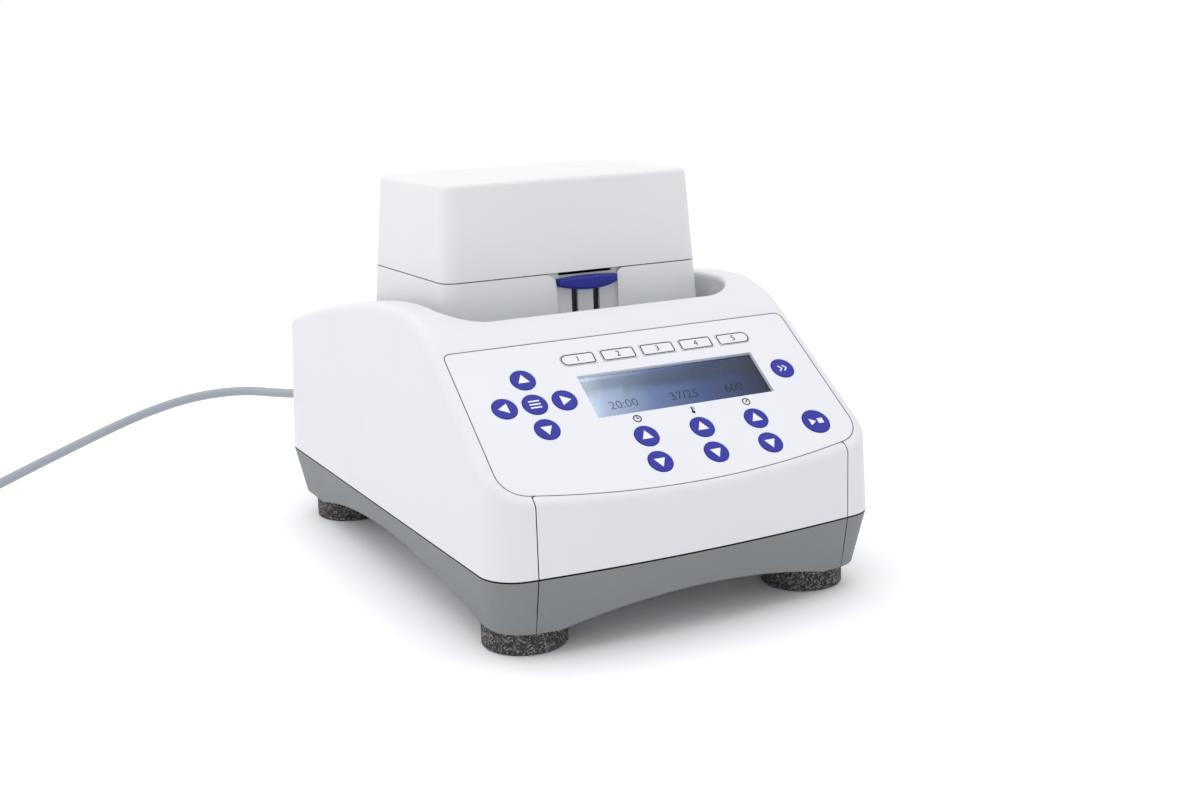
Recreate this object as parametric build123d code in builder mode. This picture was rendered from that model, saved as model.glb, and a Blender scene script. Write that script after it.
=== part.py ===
from build123d import *
from math import atan2, cos, pi, radians, sin, tan
import os

# Bench-top orbital mixer with a heated and cooled table, an exchangeable plate block and its lid.
# Millimetres. +X right, -Y front (operator's side), +Z up. z = 0 is the bench, x = y = 0 the middle
# of the footprint.

os.makedirs("parts", exist_ok=True)

# ------------------------------------------------------------------ driving dimensions
# Casing
body_width = 206.0
body_depth = 304.0
seam_z = 39.4            # where the housing sits over the tub
seam_gap = 0.6
wall = 3.0
side_draft = 3.1         # degrees that each side of the housing leans inwards
front_bow = 7.15         # how far the front stands out between its corners
front_corner_r = 18.0
rear_corner_r = 5.0
edge_r = 4.5             # rounding of the housing's top edges
part_gap = 0.25          # gap between neighbouring parts
seam_line = 0.4          # gap beside the front cover

# Roof line in side view, from the rear edge over the crown to the sloping panel
roof_rear_z = 115.5
roof_mid_y = body_depth / 2 - 71.0
roof_mid_z = 131.8
crown_rear_y = 10.0
crown_rear_z = 142.6
crown_front_y = 124.0 - body_depth / 2
shoulder_r = 70.0
panel_angle = 37.34      # degrees
panel_y = 42.0 - body_depth / 2      # the panel's reference point
panel_z = 101.67

# Well for the block
well_half_width = body_width / 2 - 21.0
well_front_y = 96.0 - body_depth / 2
well_rear_y = 88.0
well_corner_r = 22.0
rim_r = 2.0
liner_wall = 2.5
liner_floor_z = 101.5    # top of the liner's floor
liner_gap = 2.0          # room left round the orbiting plate

# Front cover
cover_half_width = body_width / 2 - 20.4
cover_corner_r = 1.5

# Keypad, in the panel's own plane: x across, s up the slope
pad_half_top = body_width / 2 - 9.6
pad_half_low = body_width / 2 - 7.5
pad_top_s = 45.0
pad_low_s = -39.4
pad_bow_s = -49.7
pad_top_r = 4.0
pad_low_r = 14.0
pad_depth = 0.7
pad_foil = 0.65
pad_gap = 0.3

key_r = 6.0
start_key_r = 7.1
key_gap = 0.3
key_proud = 0.2
key_travel = 0.4
key_flange = 0.9         # how far the collar stands out under the panel
key_collar = 1.0         # thickness of that collar
key_stem_r = 2.2
nav_gap = 5.85           # from the cross of keys to the display
nav_s = 8.0
nav_pitch = 15.2
pair_x = (-15.1, 14.8, 44.9)
pair_s = (-19.8, -35.2)
right_key_gap = 6.05     # from the display to the key at its right
short_key_s = 8.0
start_key_s = -27.5
prog_width = 18.0
prog_height = 7.0
prog_first_x = -28.7
prog_pitch = 21.75
prog_s = 31.5
prog_end_r = 3.3

lcd_x = 14.75
lcd_s = 8.0
lcd_width = 97.0
lcd_height = 26.5
lcd_sink = 1.6           # how deep the window lies
lcd_glass = 1.2
board_depth = 6.5        # top face of the keypad board below the panel
board_thick = 1.6
dome_height = 1.0
dome_r = 3.2
post_r = 2.6
post_x = body_width / 2 - 19.0
post_s = (-12.0, 38.0)
board_width = body_width - 30.0
board_length = 80.0
board_mid_s = 1.0
lcd_frame = 2.2
collar_gap = 0.15        # play between a key's collar and the panel

# Tub
tub_lean = 4.8           # how far the tub's walls come in towards the bench
side_arch_front = 38.0 - body_depth / 2
side_arch_rear = body_depth / 2 - 39.0
side_arch_z = 27.0
front_arch_half = body_width / 2 - 32.0
front_arch_z = 22.0

# Feet
foot_r = 20.0
foot_height = 12.6
foot_x = body_width / 2 - 26.0
foot_front_y = 35.5 - body_depth / 2
foot_rear_y = body_depth / 2 - 26.0
foot_pad_r = 18.5
foot_edge = 0.8

# Drive; the table rests at the rear of its orbit
orbit_r = 1.5
run_clear = 0.03         # radial clearance of a shaft in its bearing
plate_z = 31.0
plate_thick = 2.5
motor_r = 31.0
motor_height = 22.0
motor_flange = 4.0
motor_flange_thick = 3.0
bearing_shoulder = 1.5
shaft_lift = 1.0
shaft_r = 4.0
bearing_r = 9.0
bearing_height = 6.0
weight_r = 33.0
weight_height = 10.0
weight_gap = 2.0
weight_hole_r = 6.0
pin_r = 5.0
pin_height = 11.0
crank_inset = 15.0       # two guide cranks in front, one behind
crank_front = 31.0
crank_rear = 45.5
crank_post_r = 8.0
crank_post_height = 27.0
crank_seat = 18.0
crank_r = 7.0
crank_web = 3.0
crank_pin_r = 3.0
crank_pin_clear = 0.35
table_edge = 3.0         # how far the table stands out beside the heat sink
table_length = 112.0
table_thick = 8.0
table_corner_r = 8.0
table_bearing_wall = 5.0
contact_corner_r = 3.0
plate_chamfer = 0.6
sink_step = 4.0          # how far the heat sink stays inside the contact plate
sink_length = 76.0
sink_height = 16.0
sink_base = 4.0
fin_count = 13
fin_thick = 2.4
peltier_side = 36.0
peltier_thick = 4.0
peltier_pitch = 52.0
contact_step = 1.0       # how far the contact plate stays inside the core
contact_length = 80.0
contact_thick = 8.0

# Block and lid, drawn at the line where they part
part_z = 153.8
part_gap_z = 0.4
block_half_width = well_half_width - 9.6
block_front_y = -29.9
block_rear_y = 72.5
block_low_z = 108.0
block_lean_x = 0.0636    # how much the walls come in for each mm of height
block_lean_front = 0.0339
block_lean_rear = 0.1144
block_corner_r = 8.0
lid_top_z = 202.0
lid_top_r = 2.5
lid_wall = 2.6
lid_lip_depth = 3.0
lid_lip_wall = 1.8
fit_clear = 0.35
nest_width = 2 * block_half_width - 16.2
nest_length = 86.3
nest_z = 147.0
core_width = nest_width - 6.6
core_length = 79.6
core_step = 0.6

nest_corner_r = 3.5
lid_rebate = 3.0         # width of the block's rim outside the lid's lip
seal_thick = 0.8
pivot_length = 30.0

# Release lever of the block
lever_x = 5.9
recess_width = 35.2
recess_back_y = block_front_y + 2.3
recess_flare_r = (6.3, 3.8)          # left and right
lever_chamber_width = 26.0
lever_chamber_front = block_front_y + 3.9
lever_chamber_rear = block_front_y + 9.4
slot_offset = 6.2
slot_width = 3.7
slot_top_z = part_z - 4.0
slot_low_z = 113.0
gap_width = 30.5
gap_height = 1.25
leg_thick = 3.0
leg_width = 4.6
pivot_y = block_front_y + 6.7
pivot_z = 119.0
pivot_r = 1.5
leg_eye_r = 2.6
grip_width = 33.6
grip_low_z = 145.0       # lowest point, in the middle
grip_end_z = 147.1       # lower edge at the ends
grip_side_z = 151.0      # upper edge at the ends
grip_top_z = 151.8       # highest point, in the middle
grip_back_y = block_front_y + 1.7
grip_end_y = block_front_y - 2.0
grip_mid_y = block_front_y - 5.9
grip_edge_r = 1.5
arm_height = 3.6

# Rear panel
bay_depth = 4.0
bay_x = 54.0 - body_width / 2
bay_width = 88.0
bay_height = 26.4
bay_corner_r = 2.0
inlet_x = bay_x - 17.0
inlet_z = 54.5
inlet_width = 33.0
inlet_height = 22.4
inlet_flange_width = 48.0
inlet_flange_height = 25.0
inlet_flange_thick = 2.0
inlet_depth = 26.0
socket_width = 25.0
socket_height = 16.6
socket_depth = 17.0
socket_chamfer = 4.5
contact_pin_width = 4.0
contact_pin_height = 2.0
contact_pin_length = 12.0
contact_pin_x = 7.0
contact_pin_z = 2.6
rocker_x = bay_x + 29.0
rocker_width = 12.0
rocker_height = 19.0
rocker_swing = 8.0       # degrees to each side of the middle
rocker_pivot_depth = 6.0
rocker_frame_width = 15.5
rocker_frame_height = 23.0
rocker_frame_lip = 1.5
rocker_body_depth = 15.0
rocker_wall = 1.4
rocker_play = 1.1
usb_shell = 0.6
usb_depth = 14.0
usb_tongue_set = 2.0
usb_x = body_width / 2 - 19.0
usb_width = 13.2
usb_height = 5.8
usb_z = 52.0
fan_x = 40.0
fan_z = 80.0
fan_side = 50.0
fan_depth = 15.0
fan_duct_r = 23.2
fan_blade_r = 22.4
fan_hub_r = 10.0
fan_blade_count = 7
fan_blade_thick = 1.2
fan_root_pitch = 48.0
fan_tip_pitch = 28.0
fan_strut = 2.4
fan_shaft_r = 1.5
fan_corner_r = 4.0
fan_hole_pitch = 41.0
fan_running_gap = 0.8
fan_blade_chord = 13.0
fan_hub_overlap = 0.6
vent_count = 9
vent_slot = 2.6
vent_pitch = 5.2
vent_length = 38.0

# Fasteners
plate_screw_length = 8.0
casing_screw_length = 26.0
screw_r = 1.9
screw_head_r = 3.6
screw_head = 2.4
casing_screw_x = body_width / 2 - 9.0
casing_screw_y = (-60.0, 95.0)
casing_boss_r = 5.6
casing_boss_top = 62.0
casing_screw_z = 30.0    # shoulder that the screw heads pull against
plate_screw_x = 55.0
plate_screw_y = (-62.0, 98.0)
plate_boss_r = 5.0
plate_width = body_width - 30.0
plate_length = body_depth - 88.0
plate_mid_y = 10.0

# Power supply board, beside the motor
supply_x = 27.0 - body_width / 2
supply_y = 20.0
supply_width = 34.0
supply_length = 136.0
supply_lift = 6.0
supply_board = 1.6
supply_blocks = ((-44.0, 26.0, 28.0, 21.0), (58.0, 28.0, 8.0, 10.0), (18.0, 5.0, 44.0, 24.0))
supply_cans = ((-12.0, 8.0, 26.0),)

# Mains lead: hand-laid route from the connector to the coil, then from the coil to the plug
cord_d = 6.0
cord_route = [
    (-66.0, 205.0, 54.5), (-67.5, 226.0, 52.6), (-79.0, 254.0, 49.4), (-98.0, 283.0, 49.0),
    (-128.0, 300.5, 45.0), (-162.0, 304.5, 36.6), (-197.0, 299.0, 26.2), (-231.0, 288.0, 17.0),
    (-264.0, 268.0, 10.4), (-293.0, 245.0, 5.8), (-322.0, 214.0, 3.4), (-353.6, 172.9, 3.0),
]
tail_route = [
    (-361.0, 150.0, 9.0), (-361.5, 129.0, 11.0), (-359.0, 108.0, 16.0), (-358.0, 90.0, 18.5),
]
coil_x = -322.0
coil_y = 150.0
coil_r = 33.0            # middle of the wound turns
coil_turns_across = 3
coil_layers = 2
plug_x = -358.0
plug_y = 90.0
plug_relief = 24.0
plug_length = 36.0
plug_r = 18.5
plug_neck_r = 7.0
plug_neck = 12.0
plug_edge_r = 2.5
plug_pin_r = 2.4
plug_pin_x = 9.5
plug_pin_length = 19.0
plug_notch_width = 7.0
plug_notch_depth = 2.6
connector_width = 27.0
connector_height = 19.5
connector_length = 31.0
connector_edge_r = 3.0
relief_length = 24.0
relief_r = 5.0
relief_end_r = 3.7

# ------------------------------------------------------------------ worked out from those
tub_low_z = foot_height
half_width = body_width / 2
half_depth = body_depth / 2
drive_y = (block_front_y + block_rear_y) / 2     # middle of the block and of the table
contact_width = core_width - 2 * contact_step
sink_width = contact_width - 2 * sink_step
table_width = sink_width + 2 * table_edge
crank_x = table_width / 2 - crank_inset
nav_x = lcd_x - lcd_width / 2 - nav_gap - key_r - nav_pitch
right_key_x = lcd_x + lcd_width / 2 + right_key_gap + key_r
motor_y = drive_y - orbit_r
motor_z = plate_z + plate_thick
weight_z = motor_z + motor_height + weight_gap
pin_z = weight_z + weight_height
table_z = pin_z + pin_height - table_thick
sink_z = table_z + table_thick
peltier_z = sink_z + sink_height
contact_z = peltier_z + peltier_thick
core_z = contact_z + contact_thick
crank_places = ((-crank_x, motor_y - crank_front), (crank_x, motor_y - crank_front),
                (0.0, motor_y + crank_rear))
loft_top_z = 150.0
panel_rad = radians(panel_angle)
panel_plane = Plane(origin=(0, panel_y, panel_z), x_dir=(1, 0, 0),
                    z_dir=(0, -sin(panel_rad), cos(panel_rad)))
through = 400.0          # longer than anything that is cut


# ------------------------------------------------------------------ forms that several pieces share
def plan_face(z, inset=0.0, lean=0.0, rounded=True):
    """Footprint at one height: flat sides, bowed front, round corners."""
    side = half_width - inset - lean
    front = -half_depth + inset + lean
    rear = half_depth - inset - lean
    corner_y = front + front_bow
    with BuildSketch(Plane.XY.offset(z)) as plan:
        with BuildLine():
            Line((side, corner_y), (side, rear))
            Line((side, rear), (-side, rear))
            Line((-side, rear), (-side, corner_y))
            ThreePointArc((-side, corner_y), (0, front), (side, corner_y))
        make_face()
        if rounded:
            fillet(plan.vertices().group_by(Axis.Y)[0], radius=front_corner_r - inset)
            fillet(plan.vertices().group_by(Axis.Y)[-1], radius=rear_corner_r - inset)
    return plan.sketch


def roof_face(inset=0.0):
    """Side view under the roof line, long enough to cut any plan."""
    slope = tan(panel_rad)
    reach = 40.0
    low_y = -half_depth - reach
    with BuildSketch(Plane.YZ) as side:
        with BuildLine():
            rear_arc = ThreePointArc((half_depth, roof_rear_z), (roof_mid_y, roof_mid_z),
                                     (crown_rear_y, crown_rear_z))
            start, end = rear_arc % 0, rear_arc % 1
            rise = atan2(end.Y, -end.X)
            crown_z = crown_rear_z + (crown_rear_y - crown_front_y) * tan(rise / 2)
            knee = (panel_y + (crown_z - panel_z) / slope, crown_z)
            front = (low_y, panel_z + (low_y - panel_y) * slope)
            tail = (half_depth - reach * start.X, roof_rear_z - reach * start.Y)
            TangentArc((crown_rear_y, crown_rear_z), (crown_front_y, crown_z), tangent=end)
            Polyline((crown_front_y, crown_z), knee, front, (low_y, -reach),
                     (tail[0], -reach), tail, (half_depth, roof_rear_z))
        make_face()
        fillet(side.vertices().sort_by_distance(knee)[0], radius=shoulder_r)
        if inset:
            offset(amount=-inset, kind=Kind.INTERSECTION, mode=Mode.REPLACE)
    return side.sketch


def housing_volume(inset=0.0):
    """Everything inside the housing's outer skin, moved inwards by inset."""
    height = loft_top_z - seam_z
    lean = height * tan(radians(side_draft))
    side = half_width - inset
    with BuildPart() as volume:
        extrude(to_extrude=plan_face(seam_z, inset, rounded=False), amount=height)
        with BuildSketch(Plane.XZ):
            with BuildLine():
                Polyline((side, seam_z), (side - lean, loft_top_z), (lean - side, loft_top_z),
                         (-side, seam_z), close=True)
            make_face()
        extrude(amount=through, both=True, mode=Mode.INTERSECT)
        extrude(to_extrude=roof_face(inset), amount=through, both=True, mode=Mode.INTERSECT)
        fillet(upright_edges(volume).group_by(Axis.Y)[0], radius=front_corner_r - inset)
        fillet(upright_edges(volume).group_by(Axis.Y)[-1], radius=rear_corner_r - inset)
    return volume.part


def upright_edges(builder):
    """Edges that run nearly straight up."""
    return builder.edges().filter_by(lambda edge: abs((edge % 0.5).Z) > 0.95)


def pad_face(inset=0.0):
    """Outline of the keypad in the panel's plane."""
    with BuildSketch() as pad:
        with BuildLine():
            ThreePointArc((-pad_half_low, pad_low_s), (0, pad_bow_s), (pad_half_low, pad_low_s))
            Polyline((pad_half_low, pad_low_s), (pad_half_top, pad_top_s),
                     (-pad_half_top, pad_top_s), (-pad_half_low, pad_low_s))
        make_face()
        fillet(pad.vertices().group_by(Axis.Y)[0], radius=pad_low_r)
        fillet(pad.vertices().group_by(Axis.Y)[-1], radius=pad_top_r)
        if inset:
            offset(amount=-inset, mode=Mode.REPLACE)
    return pad.sketch


def cover_face(inset=0.0):
    """Region of the front cover in the panel's plane: everything below the keypad between the seams."""
    rise = (pad_low_s - pad_bow_s) * (cover_half_width / pad_half_low) ** 2
    side = cover_half_width - inset
    top = pad_bow_s + rise - inset
    low = top - 2 * body_width
    with BuildSketch() as cover:
        with BuildLine():
            ThreePointArc((-side, top), (0, pad_bow_s - inset), (side, top))
            Polyline((side, top), (side, low), (-side, low), (-side, top))
        make_face()
        fillet(cover.vertices().sort_by(Axis.Y)[2:], radius=cover_corner_r)
    return cover.sketch


def well_face(z, grow=0.0):
    """Outline of the well at one height."""
    length = well_rear_y - well_front_y
    with BuildSketch(Plane.XY.offset(z)) as well:
        with Locations((0, (well_rear_y + well_front_y) / 2)):
            RectangleRounded(2 * (well_half_width + grow), length + 2 * grow, well_corner_r + grow)
    return well.sketch


def block_face(z, inset=0.0):
    """Outline of the block and lid at one height, following their draft."""
    up = z - part_z
    side = block_half_width - block_lean_x * up - inset
    front = block_front_y + block_lean_front * up + inset
    rear = block_rear_y - block_lean_rear * up - inset
    with BuildSketch(Plane.XY.offset(z)) as outline:
        with Locations((0, (front + rear) / 2)):
            RectangleRounded(2 * side, rear - front, block_corner_r - inset)
    return outline.sketch


def tub_volume(inset=0.0):
    """Everything inside the tub's outer skin, moved inwards by inset; the underside is a low vault."""
    top = seam_z - seam_gap + (wall if inset else 0)
    low = tub_low_z + inset
    slope = tub_lean / (seam_z - tub_low_z)
    side_mid = (side_arch_front + side_arch_rear) / 2
    with BuildPart() as volume:
        faces = []
        for z in (low, top):
            lean = slope * (seam_z - z)
            faces.append(plan_face(z, inset, lean))
        loft(sections=faces, ruled=True)
        with BuildSketch(Plane.YZ) as side_arch:
            with BuildLine():
                ThreePointArc((side_arch_front, tub_low_z), (side_mid, side_arch_z),
                              (side_arch_rear, tub_low_z))
                Polyline((side_arch_rear, tub_low_z), (side_arch_rear, 0), (side_arch_front, 0),
                         (side_arch_front, tub_low_z))
            make_face()
            if inset:
                offset(amount=inset, mode=Mode.REPLACE)
        extrude(amount=through, both=True, mode=Mode.SUBTRACT)
        with BuildSketch(Plane.XZ) as front_arch:
            with BuildLine():
                ThreePointArc((-front_arch_half, tub_low_z), (0, front_arch_z),
                              (front_arch_half, tub_low_z))
                Polyline((front_arch_half, tub_low_z), (front_arch_half, 0), (-front_arch_half, 0),
                         (-front_arch_half, tub_low_z))
            make_face()
            if inset:
                offset(amount=inset, mode=Mode.REPLACE)
        extrude(amount=through, both=True, mode=Mode.SUBTRACT)
    return volume.part


nav_places = [(nav_x + nav_pitch * cos(a), nav_s + nav_pitch * sin(a)) for a in
              (pi / 2, pi, 0, -pi / 2)]
round_keys = {
    "key_menu": (nav_x, nav_s, key_r),
    "key_up": (*nav_places[0], key_r),
    "key_left": (*nav_places[1], key_r),
    "key_right": (*nav_places[2], key_r),
    "key_down": (*nav_places[3], key_r),
    "key_time_up": (pair_x[0], pair_s[0], key_r),
    "key_time_down": (pair_x[0], pair_s[1], key_r),
    "key_temp_up": (pair_x[1], pair_s[0], key_r),
    "key_temp_down": (pair_x[1], pair_s[1], key_r),
    "key_speed_up": (pair_x[2], pair_s[0], key_r),
    "key_speed_down": (pair_x[2], pair_s[1], key_r),
    "key_short": (right_key_x, short_key_s, key_r),
    "key_start": (right_key_x, start_key_s, start_key_r),
}
program_keys = {f"key_program_{i + 1}": prog_first_x + prog_pitch * i for i in range(5)}


def program_key_face(name, grow=0.0):
    """Outline of one program key; the first and the last have a rounded outer end."""
    x = program_keys[name]
    with BuildSketch() as key:
        with Locations((x, prog_s)):
            Rectangle(prog_width + 2 * grow, prog_height + 2 * grow)
        corners = key.vertices().sort_by(Axis.X)
        if name.endswith("_1"):
            fillet(corners[:2], radius=prog_end_r + grow)
        elif name.endswith("_5"):
            fillet(corners[2:], radius=prog_end_r + grow)
    return key.sketch


def keys_face(grow):
    """All key openings together."""
    with BuildSketch() as holes:
        for x, s, radius in round_keys.values():
            with Locations((x, s)):
                Circle(radius + grow)
        for name in program_keys:
            add(program_key_face(name, grow))
    return holes.sketch


def panel(depth=0.0):
    """The panel's plane, moved down into the housing by depth."""
    return panel_plane.offset(-depth)


def bay_face(grow=0.0):
    """Outline of the recess in the rear wall that holds the inlet and the switch."""
    with BuildSketch() as bay_outline:
        with Locations((-bay_x, inlet_z)):
            RectangleRounded(bay_width + 2 * grow, bay_height + 2 * grow, bay_corner_r + grow)
    return bay_outline.sketch


def bay(depth=0.0):
    """The floor of that recess, moved further inwards by depth; its x runs to the object's left."""
    return rear_plane.offset(-bay_depth - depth)


rear_plane = Plane(origin=(0, half_depth, 0), x_dir=(-1, 0, 0), z_dir=(0, 1, 0))
post_places = [(x, s) for x in (-post_x, post_x) for s in post_s]
foot_places = [(x, y) for x in (-foot_x, foot_x) for y in (foot_front_y, foot_rear_y)]
plate_screws = [(x, y) for x in (-plate_screw_x, plate_screw_x) for y in plate_screw_y]
casing_screws = [(x, y) for x in (-casing_screw_x, casing_screw_x) for y in casing_screw_y]


# ------------------------------------------------------------------ upper housing
# The white moulded cover: one thin shell with the sloping panel, the well's rim and the rear openings.
with BuildPart() as outer_form:
    add(housing_volume())
    top_edges = outer_form.edges().filter_by(
        lambda edge: edge.center().Z > seam_z + 2 * edge_r and abs((edge % 0.5).Z) < 0.95
        and (abs(edge.center().X) > half_width / 2
             or abs(edge.center().Y) > half_depth - front_corner_r / 2)
    )
    fillet(top_edges, radius=edge_r)
    extrude(to_extrude=well_face(0), amount=through, mode=Mode.SUBTRACT)
    rim = outer_form.edges().filter_by(
        lambda edge: edge.center().Z > liner_floor_z and abs((edge % 0.5).Z) < 0.5
        and abs(edge.center().X) < well_half_width + fit_clear
        and well_front_y - fit_clear < edge.center().Y < well_rear_y + fit_clear
    )
    fillet(rim, radius=rim_r)

with BuildPart() as inner_form:
    add(housing_volume(wall))
    extrude(to_extrude=plan_face(seam_z, wall), amount=-wall)
    with BuildSketch(rear_plane):
        add(bay_face(wall))
    extrude(amount=-bay_depth - wall, mode=Mode.SUBTRACT)

with BuildPart() as skin:
    add(outer_form.part)
    add(inner_form.part, mode=Mode.SUBTRACT)

with BuildPart() as upper_housing:
    add(skin.part)
    with BuildSketch(Plane.XY.offset(seam_z)):
        with Locations(*casing_screws):
            Circle(casing_boss_r)
    extrude(amount=casing_boss_top - seam_z)
    add(outer_form.part, mode=Mode.INTERSECT)
    with BuildSketch(Plane.XY.offset(seam_z)):
        with Locations(*casing_screws):
            Circle(screw_r)
    extrude(amount=casing_boss_top - seam_z - wall, mode=Mode.SUBTRACT)
    extrude(to_extrude=panel() * cover_face(-seam_line), amount=through, both=True, mode=Mode.SUBTRACT)
    extrude(to_extrude=panel() * pad_face(), amount=-pad_depth, mode=Mode.SUBTRACT)
    with BuildSketch(panel(wall)):
        with Locations(*post_places):
            Circle(post_r)
    extrude(amount=wall - board_depth)
    extrude(to_extrude=panel() * keys_face(key_gap), amount=-2 * wall, mode=Mode.SUBTRACT)
    with BuildSketch(panel()):
        with Locations((lcd_x, lcd_s)):
            Rectangle(lcd_width, lcd_height)
    extrude(amount=-2 * wall, mode=Mode.SUBTRACT)
    with BuildSketch(rear_plane):
        add(bay_face())
    extrude(amount=-bay_depth, mode=Mode.SUBTRACT)
    with BuildSketch(bay()):
        with Locations((-inlet_x, inlet_z)):
            Rectangle(inlet_width + 2 * fit_clear, inlet_height + 2 * fit_clear)
        with Locations((-rocker_x, inlet_z)):
            Rectangle(rocker_width + 2 * rocker_wall + 2 * fit_clear,
                      rocker_height + 2 * rocker_wall + 2 * fit_clear)
    extrude(amount=-2 * wall, mode=Mode.SUBTRACT)
    with BuildSketch(rear_plane):
        with Locations((-usb_x, usb_z)):
            Rectangle(usb_width + 2 * fit_clear, usb_height + 2 * fit_clear)
        with Locations((-fan_x, fan_z)):
            with GridLocations(vent_pitch, 0, vent_count, 1):
                SlotOverall(vent_length, vent_slot, rotation=90)
    extrude(amount=-2 * wall, mode=Mode.SUBTRACT)
upper_housing.part.label = "upper_housing"
export_step(upper_housing.part, "parts/upper_housing.step")


# ------------------------------------------------------------------ front cover
# Clips over the front between the two seams; its top edge rolls over to the keypad.
with BuildPart() as front_fascia:
    add(skin.part)
    extrude(to_extrude=panel() * cover_face(), amount=through, both=True, mode=Mode.INTERSECT)
front_fascia.part.label = "front_fascia"
export_step(front_fascia.part, "parts/front_fascia.step")


# ------------------------------------------------------------------ tub and its front skirt
# The grey lower half: thin walls that lean inwards, and a vaulted underside that leaves four corners.
cover_back_y = -half_depth + front_bow + wall + 2 * fit_clear

with BuildPart() as tub_skin:
    add(tub_volume())
    add(tub_volume(wall), mode=Mode.SUBTRACT)

with BuildPart() as base_tub:
    add(tub_skin.part)
    with BuildSketch(Plane.XY.offset(tub_low_z)):
        with Locations(*foot_places):
            Circle(foot_pad_r)
    extrude(amount=side_arch_z - tub_low_z)
    with BuildSketch(Plane.XY.offset(tub_low_z)):
        with Locations(*plate_screws):
            Circle(plate_boss_r)
    extrude(amount=plate_z - tub_low_z)
    with BuildSketch(Plane.XY.offset(tub_low_z)):
        with Locations(*casing_screws):
            Circle(casing_boss_r)
    extrude(amount=seam_z - seam_gap - tub_low_z)
    add(tub_volume(), mode=Mode.INTERSECT)
    with BuildSketch(Plane.XY.offset(foot_height)):
        with Locations(*foot_places):
            Circle(foot_pad_r)
    extrude(amount=wall)
    with BuildSketch(Plane.XY.offset(plate_z)):
        with Locations(*plate_screws):
            Circle(screw_r)
    extrude(amount=-plate_screw_length, mode=Mode.SUBTRACT)
    with BuildSketch(Plane.XY):
        with Locations(*casing_screws):
            Circle(screw_r + fit_clear)
    extrude(amount=seam_z, mode=Mode.SUBTRACT)
    with BuildSketch(Plane.XY):
        with Locations(*casing_screws):
            Circle(screw_head_r + fit_clear)
    extrude(amount=casing_screw_z, mode=Mode.SUBTRACT)
    with BuildSketch(Plane.XY):
        with Locations((0, -half_depth)):
            Rectangle(2 * (cover_half_width + seam_line), 2 * (half_depth + cover_back_y))
    extrude(amount=seam_z, mode=Mode.SUBTRACT)
base_tub.part.label = "base_tub"
export_step(base_tub.part, "parts/base_tub.step")

with BuildPart() as front_skirt:
    add(tub_skin.part)
    with BuildSketch(Plane.XY):
        with Locations((0, -half_depth)):
            Rectangle(2 * cover_half_width, 2 * (half_depth + cover_back_y - fit_clear))
    extrude(amount=seam_z, mode=Mode.INTERSECT)
front_skirt.part.label = "front_skirt"
export_step(front_skirt.part, "parts/front_skirt.step")


# ------------------------------------------------------------------ feet
# Thick foam-rubber discs bonded under the four corners.
with BuildPart() as rubber_feet:
    with BuildSketch():
        with Locations(*foot_places):
            Circle(foot_r)
    extrude(amount=foot_height)
    chamfer(rubber_feet.edges().filter_by(GeomType.CIRCLE), length=foot_edge)
rubber_feet.part.label = "rubber_feet"
export_step(rubber_feet.part, "parts/rubber_feet.step")


# ------------------------------------------------------------------ well liner
# A wall hung under the rim, and a floor with an opening through which the table carries the block.
with BuildPart() as well_liner:
    extrude(to_extrude=well_face(liner_floor_z, liner_wall), amount=through)
    extrude(to_extrude=well_face(liner_floor_z), amount=through, mode=Mode.SUBTRACT)
    add(housing_volume(wall), mode=Mode.INTERSECT)
well_liner.part.label = "well_liner"
export_step(well_liner.part, "parts/well_liner.step")

with BuildPart() as well_floor:
    extrude(to_extrude=well_face(liner_floor_z - liner_wall, liner_wall), amount=liner_wall)
    with BuildSketch(Plane.XY.offset(liner_floor_z)):
        with Locations((0, motor_y)):
            RectangleRounded(contact_width + 2 * (orbit_r + liner_gap),
                             contact_length + 2 * (orbit_r + liner_gap), liner_gap + orbit_r)
    extrude(amount=-2 * liner_wall, mode=Mode.SUBTRACT)
well_floor.part.label = "well_floor"
export_step(well_floor.part, "parts/well_floor.step")


# ------------------------------------------------------------------ keypad
# Printed foil let into the panel, with an opening for each key and for the display.
with BuildPart() as keypad_overlay:
    extrude(to_extrude=panel(pad_depth) * pad_face(pad_gap), amount=pad_foil)
    extrude(to_extrude=panel() * keys_face(key_gap), amount=-2 * pad_depth, mode=Mode.SUBTRACT)
    with BuildSketch(panel()):
        with Locations((lcd_x, lcd_s)):
            Rectangle(lcd_width, lcd_height)
    extrude(amount=-2 * pad_depth, mode=Mode.SUBTRACT)
keypad_overlay.part.label = "keypad_overlay"
export_step(keypad_overlay.part, "parts/keypad_overlay.step")

# Each key is a cap with a collar that stops it under the panel and a stem over its dome switch.
stem_end = board_depth - dome_height - key_travel - 0.1
for name, (x, s, radius) in round_keys.items():
    with BuildPart() as key:
        with BuildSketch(panel()):
            with Locations((x, s)):
                Circle(radius)
        extrude(amount=key_proud)
        fillet(key.edges().sort_by(Axis(panel_plane.origin, panel_plane.z_dir))[-1], radius=key_proud * 0.9)
        with BuildSketch(panel()):
            with Locations((x, s)):
                Circle(radius)
        extrude(amount=-wall - collar_gap - key_collar)
        with BuildSketch(panel(wall + collar_gap)):
            with Locations((x, s)):
                Circle(radius + key_flange)
        extrude(amount=-key_collar)
        with BuildSketch(panel(wall)):
            with Locations((x, s)):
                Circle(key_stem_r)
        extrude(amount=wall - stem_end)
    key.part.label = name
    export_step(key.part, f"parts/{name}.step")

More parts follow.
